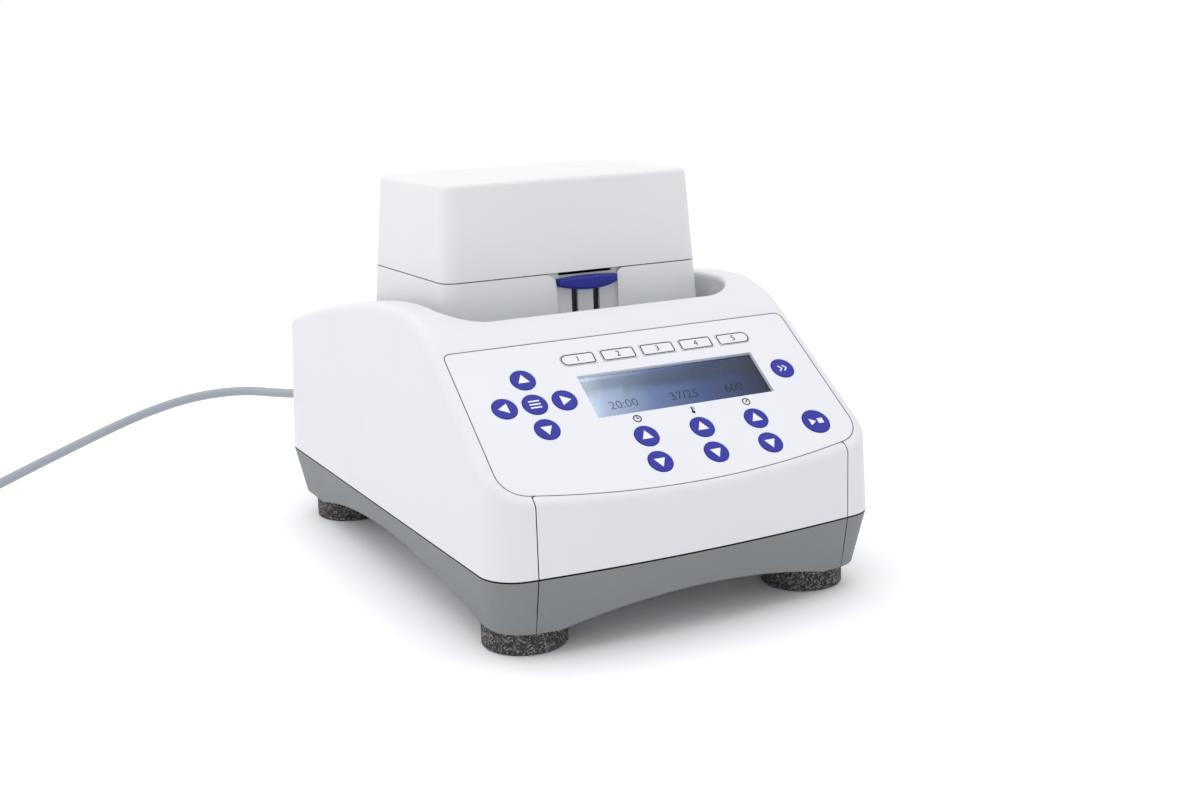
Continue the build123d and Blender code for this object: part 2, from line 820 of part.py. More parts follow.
for name, x in program_keys.items():
    with BuildPart() as key:
        extrude(to_extrude=panel(wall + collar_gap) * program_key_face(name),
                amount=wall + collar_gap + key_proud)
        extrude(to_extrude=panel(wall + collar_gap) * program_key_face(name, key_flange),
                amount=-key_collar)
        with BuildSketch(panel(wall)):
            with Locations((x, prog_s)):
                Circle(key_stem_r)
        extrude(amount=wall - stem_end)
    key.part.label = name
    export_step(key.part, f"parts/{name}.step")

# The board under the panel carries a dome switch for each key and the display module.
with BuildPart() as keypad_board:
    with BuildSketch(panel(board_depth)):
        with Locations((0, board_mid_s)):
            Rectangle(board_width, board_length)
        with Locations(*post_places):
            Circle(screw_r, mode=Mode.SUBTRACT)
    extrude(amount=-board_thick)
    with BuildSketch(panel(board_depth)):
        with Locations(*[(x, s) for x, s, radius in round_keys.values()]):
            Circle(dome_r)
        with Locations(*[(x, prog_s) for x in program_keys.values()]):
            Circle(dome_r)
    extrude(amount=dome_height)
keypad_board.part.label = "keypad_board"
export_step(keypad_board.part, "parts/keypad_board.step")


# ------------------------------------------------------------------ display
with BuildPart() as display_window:
    with BuildSketch(panel(lcd_sink)):
        with Locations((lcd_x, lcd_s)):
            Rectangle(lcd_width - 2 * fit_clear, lcd_height - 2 * fit_clear)
    extrude(amount=-lcd_glass)
display_window.part.label = "display_window"
export_step(display_window.part, "parts/display_window.step")

with BuildPart() as display_module:
    with BuildSketch(panel(board_depth)):
        with Locations((lcd_x, lcd_s)):
            Rectangle(lcd_width + 2 * lcd_frame, lcd_height + lcd_frame)
    extrude(amount=board_depth - wall - part_gap)
    with BuildSketch(panel(wall + part_gap)):
        with Locations((lcd_x, lcd_s)):
            Rectangle(lcd_width - 4 * fit_clear, lcd_height - 4 * fit_clear)
    extrude(amount=wall + part_gap - lcd_sink - lcd_glass)
display_module.part.label = "display_module"
export_step(display_module.part, "parts/display_module.step")

# ------------------------------------------------------------------ chassis
# A steel plate on four bosses of the tub, with the posts that carry the guide cranks.
with BuildPart() as chassis_plate:
    with BuildSketch(Plane.XY.offset(plate_z)):
        with Locations((0, plate_mid_y)):
            RectangleRounded(plate_width, plate_length, plate_boss_r)
        with Locations(*plate_screws):
            Circle(screw_r + fit_clear, mode=Mode.SUBTRACT)
    extrude(amount=plate_thick)
    with BuildSketch(Plane.XY.offset(motor_z)):
        with Locations(*crank_places):
            Circle(crank_post_r)
    extrude(amount=crank_post_height)
    with BuildSketch(Plane.XY.offset(motor_z + crank_post_height)):
        with Locations(*crank_places):
            Circle(crank_pin_r + run_clear)
    extrude(amount=-crank_seat, mode=Mode.SUBTRACT)
chassis_plate.part.label = "chassis_plate"
export_step(chassis_plate.part, "parts/chassis_plate.step")

# Pan-head screws: four pull the plate onto the tub, four hold tub and housing together from below.
with BuildPart() as casing_fasteners:
    with BuildSketch(Plane.XY.offset(motor_z)):
        with Locations(*plate_screws):
            Circle(screw_head_r)
    extrude(amount=screw_head)
    with BuildSketch(Plane.XY.offset(motor_z)):
        with Locations(*plate_screws):
            Circle(screw_r)
    extrude(amount=-plate_screw_length)
    with BuildSketch(Plane.XY.offset(casing_screw_z)):
        with Locations(*casing_screws):
            Circle(screw_head_r)
    extrude(amount=-screw_head)
    with BuildSketch(Plane.XY.offset(casing_screw_z)):
        with Locations(*casing_screws):
            Circle(screw_r)
    extrude(amount=casing_screw_length)
casing_fasteners.part.label = "casing_fasteners"
export_step(casing_fasteners.part, "parts/casing_fasteners.step")


# ------------------------------------------------------------------ drive
# Flat motor: a finned can with a flange, and a bearing at each end of its bore.
with BuildPart() as motor_stator:
    with BuildSketch(Plane.XY.offset(motor_z)):
        with Locations((0, motor_y)):
            Circle(motor_r + motor_flange)
    extrude(amount=motor_flange_thick)
    with BuildSketch(Plane.XY.offset(motor_z)):
        with Locations((0, motor_y)):
            Circle(motor_r)
    extrude(amount=motor_height)
    with BuildSketch(Plane.XY.offset(motor_z)):
        with Locations((0, motor_y)):
            Circle(bearing_r - bearing_shoulder)
    extrude(amount=motor_height, mode=Mode.SUBTRACT)
    for z in (motor_z, motor_z + motor_height - bearing_height):
        with BuildSketch(Plane.XY.offset(z)):
            with Locations((0, motor_y)):
                Circle(bearing_r)
        extrude(amount=bearing_height, mode=Mode.SUBTRACT)
motor_stator.part.label = "motor_stator"
export_step(motor_stator.part, "parts/motor_stator.step")

with BuildPart() as main_bearings:
    for z in (motor_z, motor_z + motor_height - bearing_height):
        with BuildSketch(Plane.XY.offset(z)):
            with Locations((0, motor_y)):
                Circle(bearing_r)
                Circle(shaft_r + run_clear, mode=Mode.SUBTRACT)
        extrude(amount=bearing_height)
main_bearings.part.label = "main_bearings"
export_step(main_bearings.part, "parts/main_bearings.step")

# The shaft carries a balance disc, cut away on the pin's side, and the eccentric pin.
with BuildPart() as drive_shaft:
    with BuildSketch(Plane.XY.offset(motor_z + shaft_lift)):
        with Locations((0, motor_y)):
            Circle(shaft_r)
    extrude(amount=weight_z - motor_z - shaft_lift)
    with BuildSketch(Plane.XY.offset(weight_z)):
        with Locations((0, motor_y)):
            Circle(weight_r)
            with PolarLocations(weight_r * 0.62, 3, start_angle=30, angular_range=120, endpoint=True):
                Circle(weight_hole_r, mode=Mode.SUBTRACT)
    extrude(amount=weight_height)
    with BuildSketch(Plane.XY.offset(pin_z)):
        with Locations((0, drive_y)):
            Circle(pin_r)
    extrude(amount=pin_height)
drive_shaft.part.label = "drive_shaft"
export_step(drive_shaft.part, "parts/drive_shaft.step")

# Three guide cranks of the same throw keep the table from turning.
for number, (x, y) in enumerate(crank_places, start=1):
    seat_z = motor_z + crank_post_height - crank_seat + fit_clear
    web_z = motor_z + crank_post_height + fit_clear
    with BuildPart() as guide_crank:
        with BuildSketch(Plane.XY.offset(seat_z)):
            with Locations((x, y)):
                Circle(crank_pin_r)
        extrude(amount=web_z - seat_z)
        with BuildSketch(Plane.XY.offset(web_z)):
            with Locations((x, y + orbit_r / 2)):
                SlotCenterToCenter(orbit_r, 2 * crank_r, rotation=90)
        extrude(amount=crank_web)
        with BuildSketch(Plane.XY.offset(web_z + crank_web)):
            with Locations((x, y + orbit_r)):
                Circle(crank_pin_r)
        extrude(amount=table_z + table_thick - fit_clear - web_z - crank_web)
    guide_crank.part.label = f"guide_crank_{number}"
    export_step(guide_crank.part, f"parts/guide_crank_{number}.step")

with BuildPart() as shaker_table:
    with BuildSketch(Plane.XY.offset(table_z)):
        with Locations((0, drive_y)):
            RectangleRounded(table_width, table_length, table_corner_r)
            Circle(pin_r + table_bearing_wall, mode=Mode.SUBTRACT)
        with Locations(*[(x, y + orbit_r) for x, y in crank_places]):
            Circle(crank_pin_r + crank_pin_clear, mode=Mode.SUBTRACT)
    extrude(amount=table_thick)
shaker_table.part.label = "shaker_table"
export_step(shaker_table.part, "parts/shaker_table.step")

with BuildPart() as table_bearing:
    with BuildSketch(Plane.XY.offset(table_z)):
        with Locations((0, drive_y)):
            Circle(pin_r + table_bearing_wall)
            Circle(pin_r + run_clear, mode=Mode.SUBTRACT)
    extrude(amount=table_thick)
table_bearing.part.label = "table_bearing"
export_step(table_bearing.part, "parts/table_bearing.step")


# ------------------------------------------------------------------ heating and cooling
# The contact plate sits on Peltier elements; a finned heat sink under them stands on the table.
with BuildPart() as heat_sink:
    with BuildSketch(Plane.XY.offset(peltier_z)):
        with Locations((0, drive_y)):
            Rectangle(sink_width, sink_length)
    extrude(amount=-sink_base)
    fin_pitch = (sink_width - fin_thick) / (fin_count - 1)
    with BuildSketch(Plane.XY.offset(sink_z)):
        with Locations((0, drive_y)):
            with GridLocations(fin_pitch, 0, fin_count, 1):
                Rectangle(fin_thick, sink_length)
    extrude(amount=sink_height - sink_base)
heat_sink.part.label = "heat_sink"
export_step(heat_sink.part, "parts/heat_sink.step")

with BuildPart() as peltier_modules:
    with BuildSketch(Plane.XY.offset(peltier_z)):
        with Locations((0, drive_y)):
            with GridLocations(peltier_pitch, 0, 2, 1):
                Rectangle(peltier_side, peltier_side)
    extrude(amount=peltier_thick)
peltier_modules.part.label = "peltier_modules"
export_step(peltier_modules.part, "parts/peltier_modules.step")

with BuildPart() as contact_plate:
    with BuildSketch(Plane.XY.offset(contact_z)):
        with Locations((0, drive_y)):
            RectangleRounded(contact_width, contact_length, contact_corner_r)
    extrude(amount=contact_thick)
    chamfer(contact_plate.faces().sort_by(Axis.Z)[-1].edges(), length=plate_chamfer)
contact_plate.part.label = "contact_plate"
export_step(contact_plate.part, "parts/contact_plate.step")


# ------------------------------------------------------------------ plate block
# Moulded shell round an aluminium core; the shell's top is the nest for a micro plate.
with BuildPart() as block_housing:
    loft(sections=[block_face(block_low_z), block_face(part_z)], ruled=True)
    with BuildSketch(Plane.XY.offset(part_z)):
        with Locations((0, drive_y)):
            RectangleRounded(nest_width, nest_length, nest_corner_r)
    extrude(amount=nest_z - part_z, mode=Mode.SUBTRACT)
    extrude(to_extrude=block_face(part_z, lid_rebate), amount=-lid_lip_depth - seal_thick - part_gap_z,
            mode=Mode.SUBTRACT)
    with BuildSketch(Plane.XY.offset(block_low_z)):
        with Locations((0, drive_y)):
            Rectangle(core_width + 2 * part_gap, core_length + 2 * part_gap)
    extrude(amount=through, mode=Mode.SUBTRACT)
    # recess for the grip, open at the top, with flared upper corners
    with BuildSketch(Plane.XZ.offset(-recess_back_y)):
        with Locations((lever_x, part_z)):
            Rectangle(recess_width, 2 * part_z)
        for side, flare_r in zip((-1, 1), recess_flare_r):
            with Locations((lever_x + side * recess_width / 2, part_z)):
                Circle(flare_r)
            with Locations((lever_x + side * (recess_width / 2 + flare_r), part_z - flare_r)):
                Circle(flare_r, mode=Mode.SUBTRACT)
    extrude(amount=through, mode=Mode.SUBTRACT)
    # chamber behind it, the two slots for the lever's legs and the finger gap under the lid
    with BuildSketch(Plane.XZ.offset(-lever_chamber_front)):
        with Locations((lever_x, (block_low_z + slot_top_z) / 2)):
            Rectangle(lever_chamber_width, slot_top_z - block_low_z + 2 * fit_clear)
    extrude(amount=lever_chamber_front - lever_chamber_rear, mode=Mode.SUBTRACT)
    with BuildSketch(Plane.XZ.offset(-lever_chamber_front)):
        with Locations((lever_x, (slot_low_z + slot_top_z) / 2)):
            with GridLocations(2 * slot_offset, 0, 2, 1):
                Rectangle(slot_width, slot_top_z - slot_low_z)
    extrude(amount=through, mode=Mode.SUBTRACT)
    with BuildSketch(Plane.XZ.offset(-lever_chamber_front)):
        with Locations((lever_x, part_z)):
            Rectangle(gap_width, 2 * gap_height)
    extrude(amount=through, mode=Mode.SUBTRACT)
    with BuildSketch(Plane.YZ.offset(lever_x)):
        with Locations((pivot_y, pivot_z)):
            Circle(pivot_r)
    extrude(amount=pivot_length / 2, both=True, mode=Mode.SUBTRACT)
block_housing.part.label = "block_housing"
export_step(block_housing.part, "parts/block_housing.step")

with BuildPart() as block_core:
    with BuildSketch(Plane.XY.offset(core_z)):
        with Locations((0, drive_y)):
            Rectangle(core_width, core_length)
    extrude(amount=nest_z + core_step - core_z)
    chamfer(block_core.faces().sort_by(Axis.Z)[-1].edges(), length=core_step / 2)
block_core.part.label = "block_core"
export_step(block_core.part, "parts/block_core.step")

with BuildPart() as lever_pin:
    with BuildSketch(Plane.YZ.offset(lever_x)):
        with Locations((pivot_y, pivot_z)):
            Circle(pivot_r)
    extrude(amount=pivot_length / 2, both=True)
lever_pin.part.label = "lever_pin"
export_step(lever_pin.part, "parts/lever_pin.step")

# Two flat steel legs turn on the pin and come out through the slots to the moulded grip.
with BuildPart() as lever_legs:
    leg_front = pivot_y - leg_width / 2
    leg_rear = pivot_y + leg_width / 2
    arm_top = slot_top_z - fit_clear
    arm_low = arm_top - arm_height
    for side in (-1, 1):
        with BuildSketch(Plane.YZ.offset(lever_x + side * slot_offset)):
            with BuildLine():
                Polyline((leg_rear, pivot_z), (leg_rear, arm_top), (grip_back_y, arm_top),
                         (grip_back_y, arm_low), (leg_front, arm_low), (leg_front, pivot_z), close=True)
            make_face()
            with Locations((pivot_y, pivot_z)):
                Circle(leg_eye_r)
                Circle(pivot_r + run_clear, mode=Mode.SUBTRACT)
        extrude(amount=leg_thick / 2, both=True)
lever_legs.part.label = "lever_legs"
export_step(lever_legs.part, "parts/lever_legs.step")

# The grip is bowed both ways: its plan and its front view are cut out of each other.
with BuildPart() as lever_grip:
    grip_left = lever_x - grip_width / 2
    grip_right = lever_x + grip_width / 2
    with BuildSketch(Plane.XZ.offset(-grip_back_y)):
        with BuildLine():
            ThreePointArc((grip_left, grip_end_z), (lever_x, grip_low_z), (grip_right, grip_end_z))
            Line((grip_right, grip_end_z), (grip_right, grip_side_z))
            ThreePointArc((grip_right, grip_side_z), (lever_x, grip_top_z), (grip_left, grip_side_z))
            Line((grip_left, grip_side_z), (grip_left, grip_end_z))
        make_face()
    extrude(amount=grip_back_y - grip_mid_y)
    with BuildSketch(Plane.XY.offset(grip_low_z)):
        with BuildLine():
            Polyline((grip_left, grip_end_y), (grip_left, grip_back_y), (grip_right, grip_back_y),
                     (grip_right, grip_end_y))
            ThreePointArc((grip_right, grip_end_y), (lever_x, grip_mid_y), (grip_left, grip_end_y))
        make_face()
    extrude(amount=grip_top_z - grip_low_z, mode=Mode.INTERSECT)
    fillet(lever_grip.faces().sort_by(Axis.Y)[0].edges(), radius=grip_edge_r)
lever_grip.part.label = "lever_grip"
export_step(lever_grip.part, "parts/lever_grip.step")

# Soft ring in the rim's rebate, under the lid's lip.
seal_z = part_z - lid_lip_depth - seal_thick - part_gap_z
with BuildPart() as lid_seal:
    extrude(to_extrude=Pos(0, 0, seal_z - part_z) * block_face(part_z, lid_rebate), amount=seal_thick)
    with BuildSketch(Plane.XY.offset(seal_z)):
        with Locations((0, drive_y)):
            RectangleRounded(nest_width, nest_length, nest_corner_r)
    extrude(amount=seal_thick, mode=Mode.SUBTRACT)
lid_seal.part.label = "lid_seal"
export_step(lid_seal.part, "parts/lid_seal.step")


# ------------------------------------------------------------------ lid
# A hood that lifts straight off; its lip drops into the block's rim.
lid_low_z = part_z + part_gap_z
with BuildPart() as hood:
    loft(sections=[block_face(lid_low_z), block_face(lid_top_z)], ruled=True)
with BuildPart() as block_lid:
    add(hood.part)
    fillet(block_lid.faces().sort_by(Axis.Z)[-1].edges(), radius=lid_top_r)
    loft(sections=[block_face(lid_low_z, lid_wall), block_face(lid_top_z - lid_wall, lid_wall)],
         ruled=True, mode=Mode.SUBTRACT)
    extrude(to_extrude=block_face(lid_low_z, lid_wall / 2), amount=lid_wall)
    extrude(to_extrude=block_face(lid_low_z, lid_rebate + fit_clear), amount=-lid_lip_depth)
    extrude(to_extrude=block_face(lid_low_z - lid_lip_depth, lid_rebate + fit_clear + lid_lip_wall
                                  - lid_lip_depth * block_lean_x),
            amount=lid_lip_depth + lid_wall, mode=Mode.SUBTRACT)
    with BuildSketch(Plane.XZ.offset(-block_front_y)):
        with Locations((lever_x, lid_low_z - lid_lip_depth)):
            Rectangle(gap_width, 2 * lid_lip_depth)
    extrude(amount=-lid_rebate - lid_lip_wall - 2 * fit_clear, mode=Mode.SUBTRACT)
block_lid.part.label = "block_lid"
export_step(block_lid.part, "parts/block_lid.step")


# ------------------------------------------------------------------ rear panel parts
def socket_face(inset=0.0):
    """Outline of the inlet's socket: a rectangle with its two upper corners cut."""
    with BuildSketch() as socket:
        with Locations((-inlet_x, inlet_z)):
            Rectangle(socket_width - 2 * inset, socket_height - 2 * inset)
        chamfer(socket.vertices().group_by(Axis.Y)[-1], length=socket_chamfer)
    return socket.sketch


contact_pins = [(-inlet_x + dx, inlet_z + dz) for dx, dz in
                ((-contact_pin_x, -contact_pin_z), (0, contact_pin_z), (contact_pin_x, -contact_pin_z))]

# Appliance inlet with three contact pins.
with BuildPart() as mains_inlet:
    with BuildSketch(bay()):
        with Locations((-inlet_x, inlet_z)):
            RectangleRounded(inlet_flange_width, inlet_flange_height, wall)
    extrude(amount=inlet_flange_thick)
    with BuildSketch(bay()):
        with Locations((-inlet_x, inlet_z)):
            Rectangle(inlet_width, inlet_height)
    extrude(amount=-inlet_depth)
    with BuildSketch(bay(-inlet_flange_thick)):
        add(socket_face())
    extrude(amount=-socket_depth, mode=Mode.SUBTRACT)
    with BuildSketch(bay(socket_depth - inlet_flange_thick)):
        with Locations(*contact_pins):
            Rectangle(contact_pin_height, contact_pin_width)
    extrude(amount=contact_pin_length)
mains_inlet.part.label = "mains_inlet"
export_step(mains_inlet.part, "parts/mains_inlet.step")

# Rocker switch: a snap-in frame and a rocker that tips about a cross pin.
with BuildPart() as switch_frame:
    with BuildSketch(bay()):
        with Locations((-rocker_x, inlet_z)):
            RectangleRounded(rocker_frame_width + 2 * rocker_wall, rocker_frame_height + rocker_wall,
                             rocker_wall)
    extrude(amount=rocker_frame_lip)
    with BuildSketch(bay()):
        with Locations((-rocker_x, inlet_z)):
            Rectangle(rocker_width + 2 * rocker_wall, rocker_height + 2 * rocker_wall)
    extrude(amount=-rocker_body_depth)
    with BuildSketch(bay(-rocker_frame_lip)):
        with Locations((-rocker_x, inlet_z)):
            Rectangle(rocker_width + 2 * fit_clear, rocker_height + 2 * part_gap)
    extrude(amount=-rocker_body_depth, mode=Mode.SUBTRACT)
switch_frame.part.label = "switch_frame"
export_step(switch_frame.part, "parts/switch_frame.step")

# Side view of the rocker before it is tipped: two faces that meet in a shallow valley.
with BuildPart() as power_rocker:
    pivot = Plane.YZ.offset(rocker_x - rocker_width / 2)
    pivot_depth_y = half_depth - bay_depth - rocker_pivot_depth
    valley = rocker_height / 2 * tan(radians(rocker_swing))
    with BuildSketch(pivot):
        with BuildLine():
            half = rocker_height / 2 - rocker_play
            crest_y = half_depth - bay_depth + rocker_frame_lip
            Polyline((crest_y, inlet_z - half),
                     (crest_y - valley, inlet_z),
                     (crest_y, inlet_z + half),
                     (pivot_depth_y, inlet_z + half - rocker_play),
                     (pivot_depth_y - rocker_height / 4, inlet_z),
                     (pivot_depth_y, inlet_z - half + rocker_play), close=True)
        make_face()
    extrude(amount=rocker_width)
power_rocker.part = power_rocker.part.rotate(Axis((0, pivot_depth_y, inlet_z), (1, 0, 0)), rocker_swing)
power_rocker.part.label = "power_rocker"
export_step(power_rocker.part, "parts/power_rocker.step")

with BuildPart() as usb_port:
    with BuildSketch(rear_plane):
        with Locations((-usb_x, usb_z)):
            Rectangle(usb_width, usb_height)
            Rectangle(usb_width - 2 * usb_shell, usb_height - 2 * usb_shell, mode=Mode.SUBTRACT)
    extrude(amount=-usb_depth)
    with BuildSketch(rear_plane.offset(usb_shell - usb_depth)):
        with Locations((-usb_x, usb_z)):
            Rectangle(usb_width, usb_height)
    extrude(amount=-usb_shell)
    with BuildSketch(rear_plane.offset(-usb_tongue_set)):
        with Locations((-usb_x, usb_z + usb_height / 6)):
            Rectangle(usb_width - 4 * usb_shell, usb_height / 4)
    extrude(amount=usb_tongue_set - usb_depth)
usb_port.part.label = "usb_port"
export_step(usb_port.part, "parts/usb_port.step")


# ------------------------------------------------------------------ fan
# Axial fan behind the rear slots: square frame with a round duct, hub on four struts.
fan_plane = rear_plane.offset(-wall)
with BuildPart() as fan_frame:
    with BuildSketch(fan_plane):
        with Locations((-fan_x, fan_z)):
            RectangleRounded(fan_side, fan_side, fan_corner_r)
            Circle(fan_duct_r, mode=Mode.SUBTRACT)
            with GridLocations(fan_hole_pitch, fan_hole_pitch, 2, 2):
                Circle(screw_r, mode=Mode.SUBTRACT)
    extrude(amount=-fan_depth)
    with BuildSketch(fan_plane.offset(-fan_depth)):
        with Locations((-fan_x, fan_z)):
            Circle(fan_hub_r)
            Rectangle(2 * fan_duct_r + fan_strut, fan_strut)
            Rectangle(fan_strut, 2 * fan_duct_r + fan_strut)
    extrude(amount=fan_strut)
    with BuildSketch(fan_plane.offset(-fan_depth)):
        with Locations((-fan_x, fan_z)):
            Circle(fan_shaft_r + run_clear)
    extrude(amount=fan_strut, mode=Mode.SUBTRACT)
fan_frame.part.label = "fan_frame"
export_step(fan_frame.part, "parts/fan_frame.step")

hub_length = fan_depth - fan_strut - 2 * fan_running_gap
hub_plane = fan_plane.offset(-fan_depth + fan_strut + fan_running_gap)
hub_middle_y = hub_plane.origin.Y + hub_length / 2

# One blade stands on top of the hub; its chord turns flatter towards the tip.
with BuildPart() as fan_blade:
    for radius, pitch in ((fan_hub_r - fan_hub_overlap, fan_root_pitch), (fan_blade_r + wall, fan_tip_pitch)):
        with BuildSketch(Plane(origin=(fan_x, hub_middle_y, fan_z + radius), z_dir=(0, 0, 1))):
            Rectangle(fan_blade_chord, fan_blade_thick, rotation=pitch)
    loft()
    with BuildSketch(fan_plane):
        with Locations((-fan_x, fan_z)):
            Circle(fan_blade_r)
    extrude(amount=-fan_depth, mode=Mode.INTERSECT)

with BuildPart() as fan_rotor:
    with BuildSketch(hub_plane):
        with Locations((-fan_x, fan_z)):
            Circle(fan_hub_r)
    extrude(amount=hub_length)
    with BuildSketch(fan_plane.offset(-fan_depth + fan_running_gap)):
        with Locations((-fan_x, fan_z)):
            Circle(fan_shaft_r)
    extrude(amount=fan_strut)
    for turn in range(fan_blade_count):
        add(fan_blade.part.rotate(Axis((fan_x, 0, fan_z), (0, 1, 0)), turn * 360 / fan_blade_count))
fan_rotor.part.label = "fan_rotor"
export_step(fan_rotor.part, "parts/fan_rotor.step")


# ------------------------------------------------------------------ power supply
# A board on spacers beside the motor: transformer, two capacitors, a heat-sink bar and two plugs.
board_z = motor_z + supply_lift
with BuildPart() as power_supply:
    with BuildSketch(Plane.XY.offset(board_z)):
        with Locations((supply_x, supply_y)):
            Rectangle(supply_width, supply_length)
    extrude(amount=supply_board)
    with BuildSketch(Plane.XY.offset(motor_z)):
        with Locations((supply_x, supply_y)):
            with GridLocations(supply_width - 4 * screw_r, supply_length - 4 * screw_r, 2, 2):
                Circle(screw_r)
    extrude(amount=supply_lift)
    top = board_z + supply_board
    for dy, width, length, height in supply_blocks:
        with BuildSketch(Plane.XY.offset(top)):
            with Locations((supply_x, supply_y + dy)):
                Rectangle(width, length)
        extrude(amount=height)
    for dy, radius, height in supply_cans:
        with BuildSketch(Plane.XY.offset(top)):
            with Locations((supply_x, supply_y + dy)):
                Circle(radius)
        extrude(amount=height)
power_supply.part.label = "power_supply"
export_step(power_supply.part, "parts/power_supply.step")


# ------------------------------------------------------------------ mains lead
def cord_path(route):
    """Straight runs joined by arcs as large as the runs allow."""
    points = [Vector(*point) for point in route]
    radii = []
    for before, here, after in zip(points, points[1:], points[2:]):
        turn = (here - before).get_angle(after - here)
        shorter = min((here - before).length, (after - here).length)
        radii.append(0.45 * shorter / tan(radians(turn) / 2))
    print("arc radii", [round(radius) for radius in radii])
    return FilletPolyline(*points, radius=radii)


def cord_tube(route):
    """Round lead along a route."""
    path = cord_path(route)
    with BuildPart() as tube:
        with BuildSketch(Plane(origin=path @ 0, z_dir=path % 0)):
            Circle(cord_d / 2)
        sweep(path=path)
    share = tube.part.volume / (pi * cord_d ** 2 / 4 * path.length)
    print("cord", round(path.length, 1), "mm, tube volume over section times length", round(share, 4))
    return tube.part


# Moulded connector in the inlet: nose with three holes, body and tapered strain relief.
with BuildPart() as mains_connector:
    with BuildSketch(bay(-inlet_flange_thick)):
        add(socket_face(part_gap))
    extrude(amount=-socket_depth + part_gap)
    with BuildSketch(bay(-inlet_flange_thick)):
        with Locations((-inlet_x, inlet_z)):
            RectangleRounded(connector_width, connector_height, connector_edge_r)
    extrude(amount=connector_length)
    fillet(mains_connector.faces().sort_by(Axis.Y)[-1].edges(), radius=connector_edge_r)
    relief_plane = bay(-inlet_flange_thick - connector_length)
    with BuildSketch(relief_plane):
        with Locations((-inlet_x, inlet_z)):
            Circle(relief_r)
    with BuildSketch(relief_plane.offset(relief_length)):
        with Locations((-inlet_x, inlet_z)):
            Circle(relief_end_r)
    loft()
    with BuildSketch(bay(socket_depth - inlet_flange_thick)):
        with Locations(*contact_pins):
            Rectangle(contact_pin_height + 2 * part_gap, contact_pin_width + 2 * part_gap)
    extrude(amount=contact_pin_length + part_gap, mode=Mode.SUBTRACT)
mains_connector.part.label = "mains_connector"
export_step(mains_connector.part, "parts/mains_connector.step")

lead = cord_tube(cord_route)
tail = cord_tube(tail_route)
with BuildPart() as mains_cord:
    add(lead)
    add(tail)
mains_cord.part.label = "mains_cord"
export_step(mains_cord.part, "parts/mains_cord.step")

coil_width = coil_turns_across * cord_d
with BuildPart() as cord_coil:
    with BuildSketch():
        with Locations((coil_x, coil_y)):
            Circle(coil_r + coil_width / 2)
            Circle(coil_r - coil_width / 2, mode=Mode.SUBTRACT)
    extrude(amount=coil_layers * cord_d)
    fillet(cord_coil.edges().filter_by(GeomType.CIRCLE), radius=cord_d / 2)
cord_coil.part.label = "cord_coil"
export_step(cord_coil.part, "parts/cord_coil.step")

# Round two-pin plug with side notches, lying on its side.
with BuildPart() as mains_plug:
    neck_y = plug_y - plug_relief
    face_y = neck_y - plug_length
    with BuildSketch(Plane.XY.offset(plug_r)):
        with BuildLine():
            Polyline((plug_x, plug_y), (plug_x + relief_end_r, plug_y), (plug_x + relief_r, neck_y),
                     (plug_x + plug_neck_r, neck_y), (plug_x + plug_r, neck_y - plug_neck),
                     (plug_x + plug_r, face_y), (plug_x, face_y), close=True)
        make_face()
    revolve(axis=Axis((plug_x, 0, plug_r), (0, 1, 0)))
    with BuildSketch(Plane.XZ.offset(-face_y)):
        for side in (-1, 1):
            with Locations((plug_x, plug_r + side * plug_r)):
                Rectangle(plug_notch_width, 2 * plug_notch_depth)
    extrude(amount=-plug_length + plug_neck, mode=Mode.SUBTRACT)
    with BuildSketch(Plane.XZ.offset(-face_y)):
        with Locations((plug_x - plug_pin_x, plug_r), (plug_x + plug_pin_x, plug_r)):
            Circle(plug_pin_r)
    extrude(amount=plug_pin_length)
mains_plug.part.label = "mains_plug"
export_step(mains_plug.part, "parts/mains_plug.step")
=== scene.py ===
"""Finishes and fine detail of a bench-top thermal mixer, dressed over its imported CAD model."""
from math import atan, cos, pi, radians, sin

import bpy
from mathutils import Matrix, Vector


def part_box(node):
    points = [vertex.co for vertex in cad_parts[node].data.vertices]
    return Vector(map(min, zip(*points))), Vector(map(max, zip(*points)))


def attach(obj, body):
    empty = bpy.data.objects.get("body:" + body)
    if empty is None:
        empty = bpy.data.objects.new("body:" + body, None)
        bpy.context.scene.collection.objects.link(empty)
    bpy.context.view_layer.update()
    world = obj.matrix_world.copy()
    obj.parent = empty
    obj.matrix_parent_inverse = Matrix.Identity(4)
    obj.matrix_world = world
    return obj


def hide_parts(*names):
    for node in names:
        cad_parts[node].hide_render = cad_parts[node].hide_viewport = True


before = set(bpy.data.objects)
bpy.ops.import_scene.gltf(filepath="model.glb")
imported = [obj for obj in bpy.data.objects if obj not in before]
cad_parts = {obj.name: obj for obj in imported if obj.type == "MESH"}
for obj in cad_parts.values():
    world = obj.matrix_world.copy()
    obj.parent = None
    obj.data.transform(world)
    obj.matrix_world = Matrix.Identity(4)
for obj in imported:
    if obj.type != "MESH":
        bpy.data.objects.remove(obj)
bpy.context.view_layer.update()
bpy.ops.object.select_all(action="DESELECT")
mm = 0.001


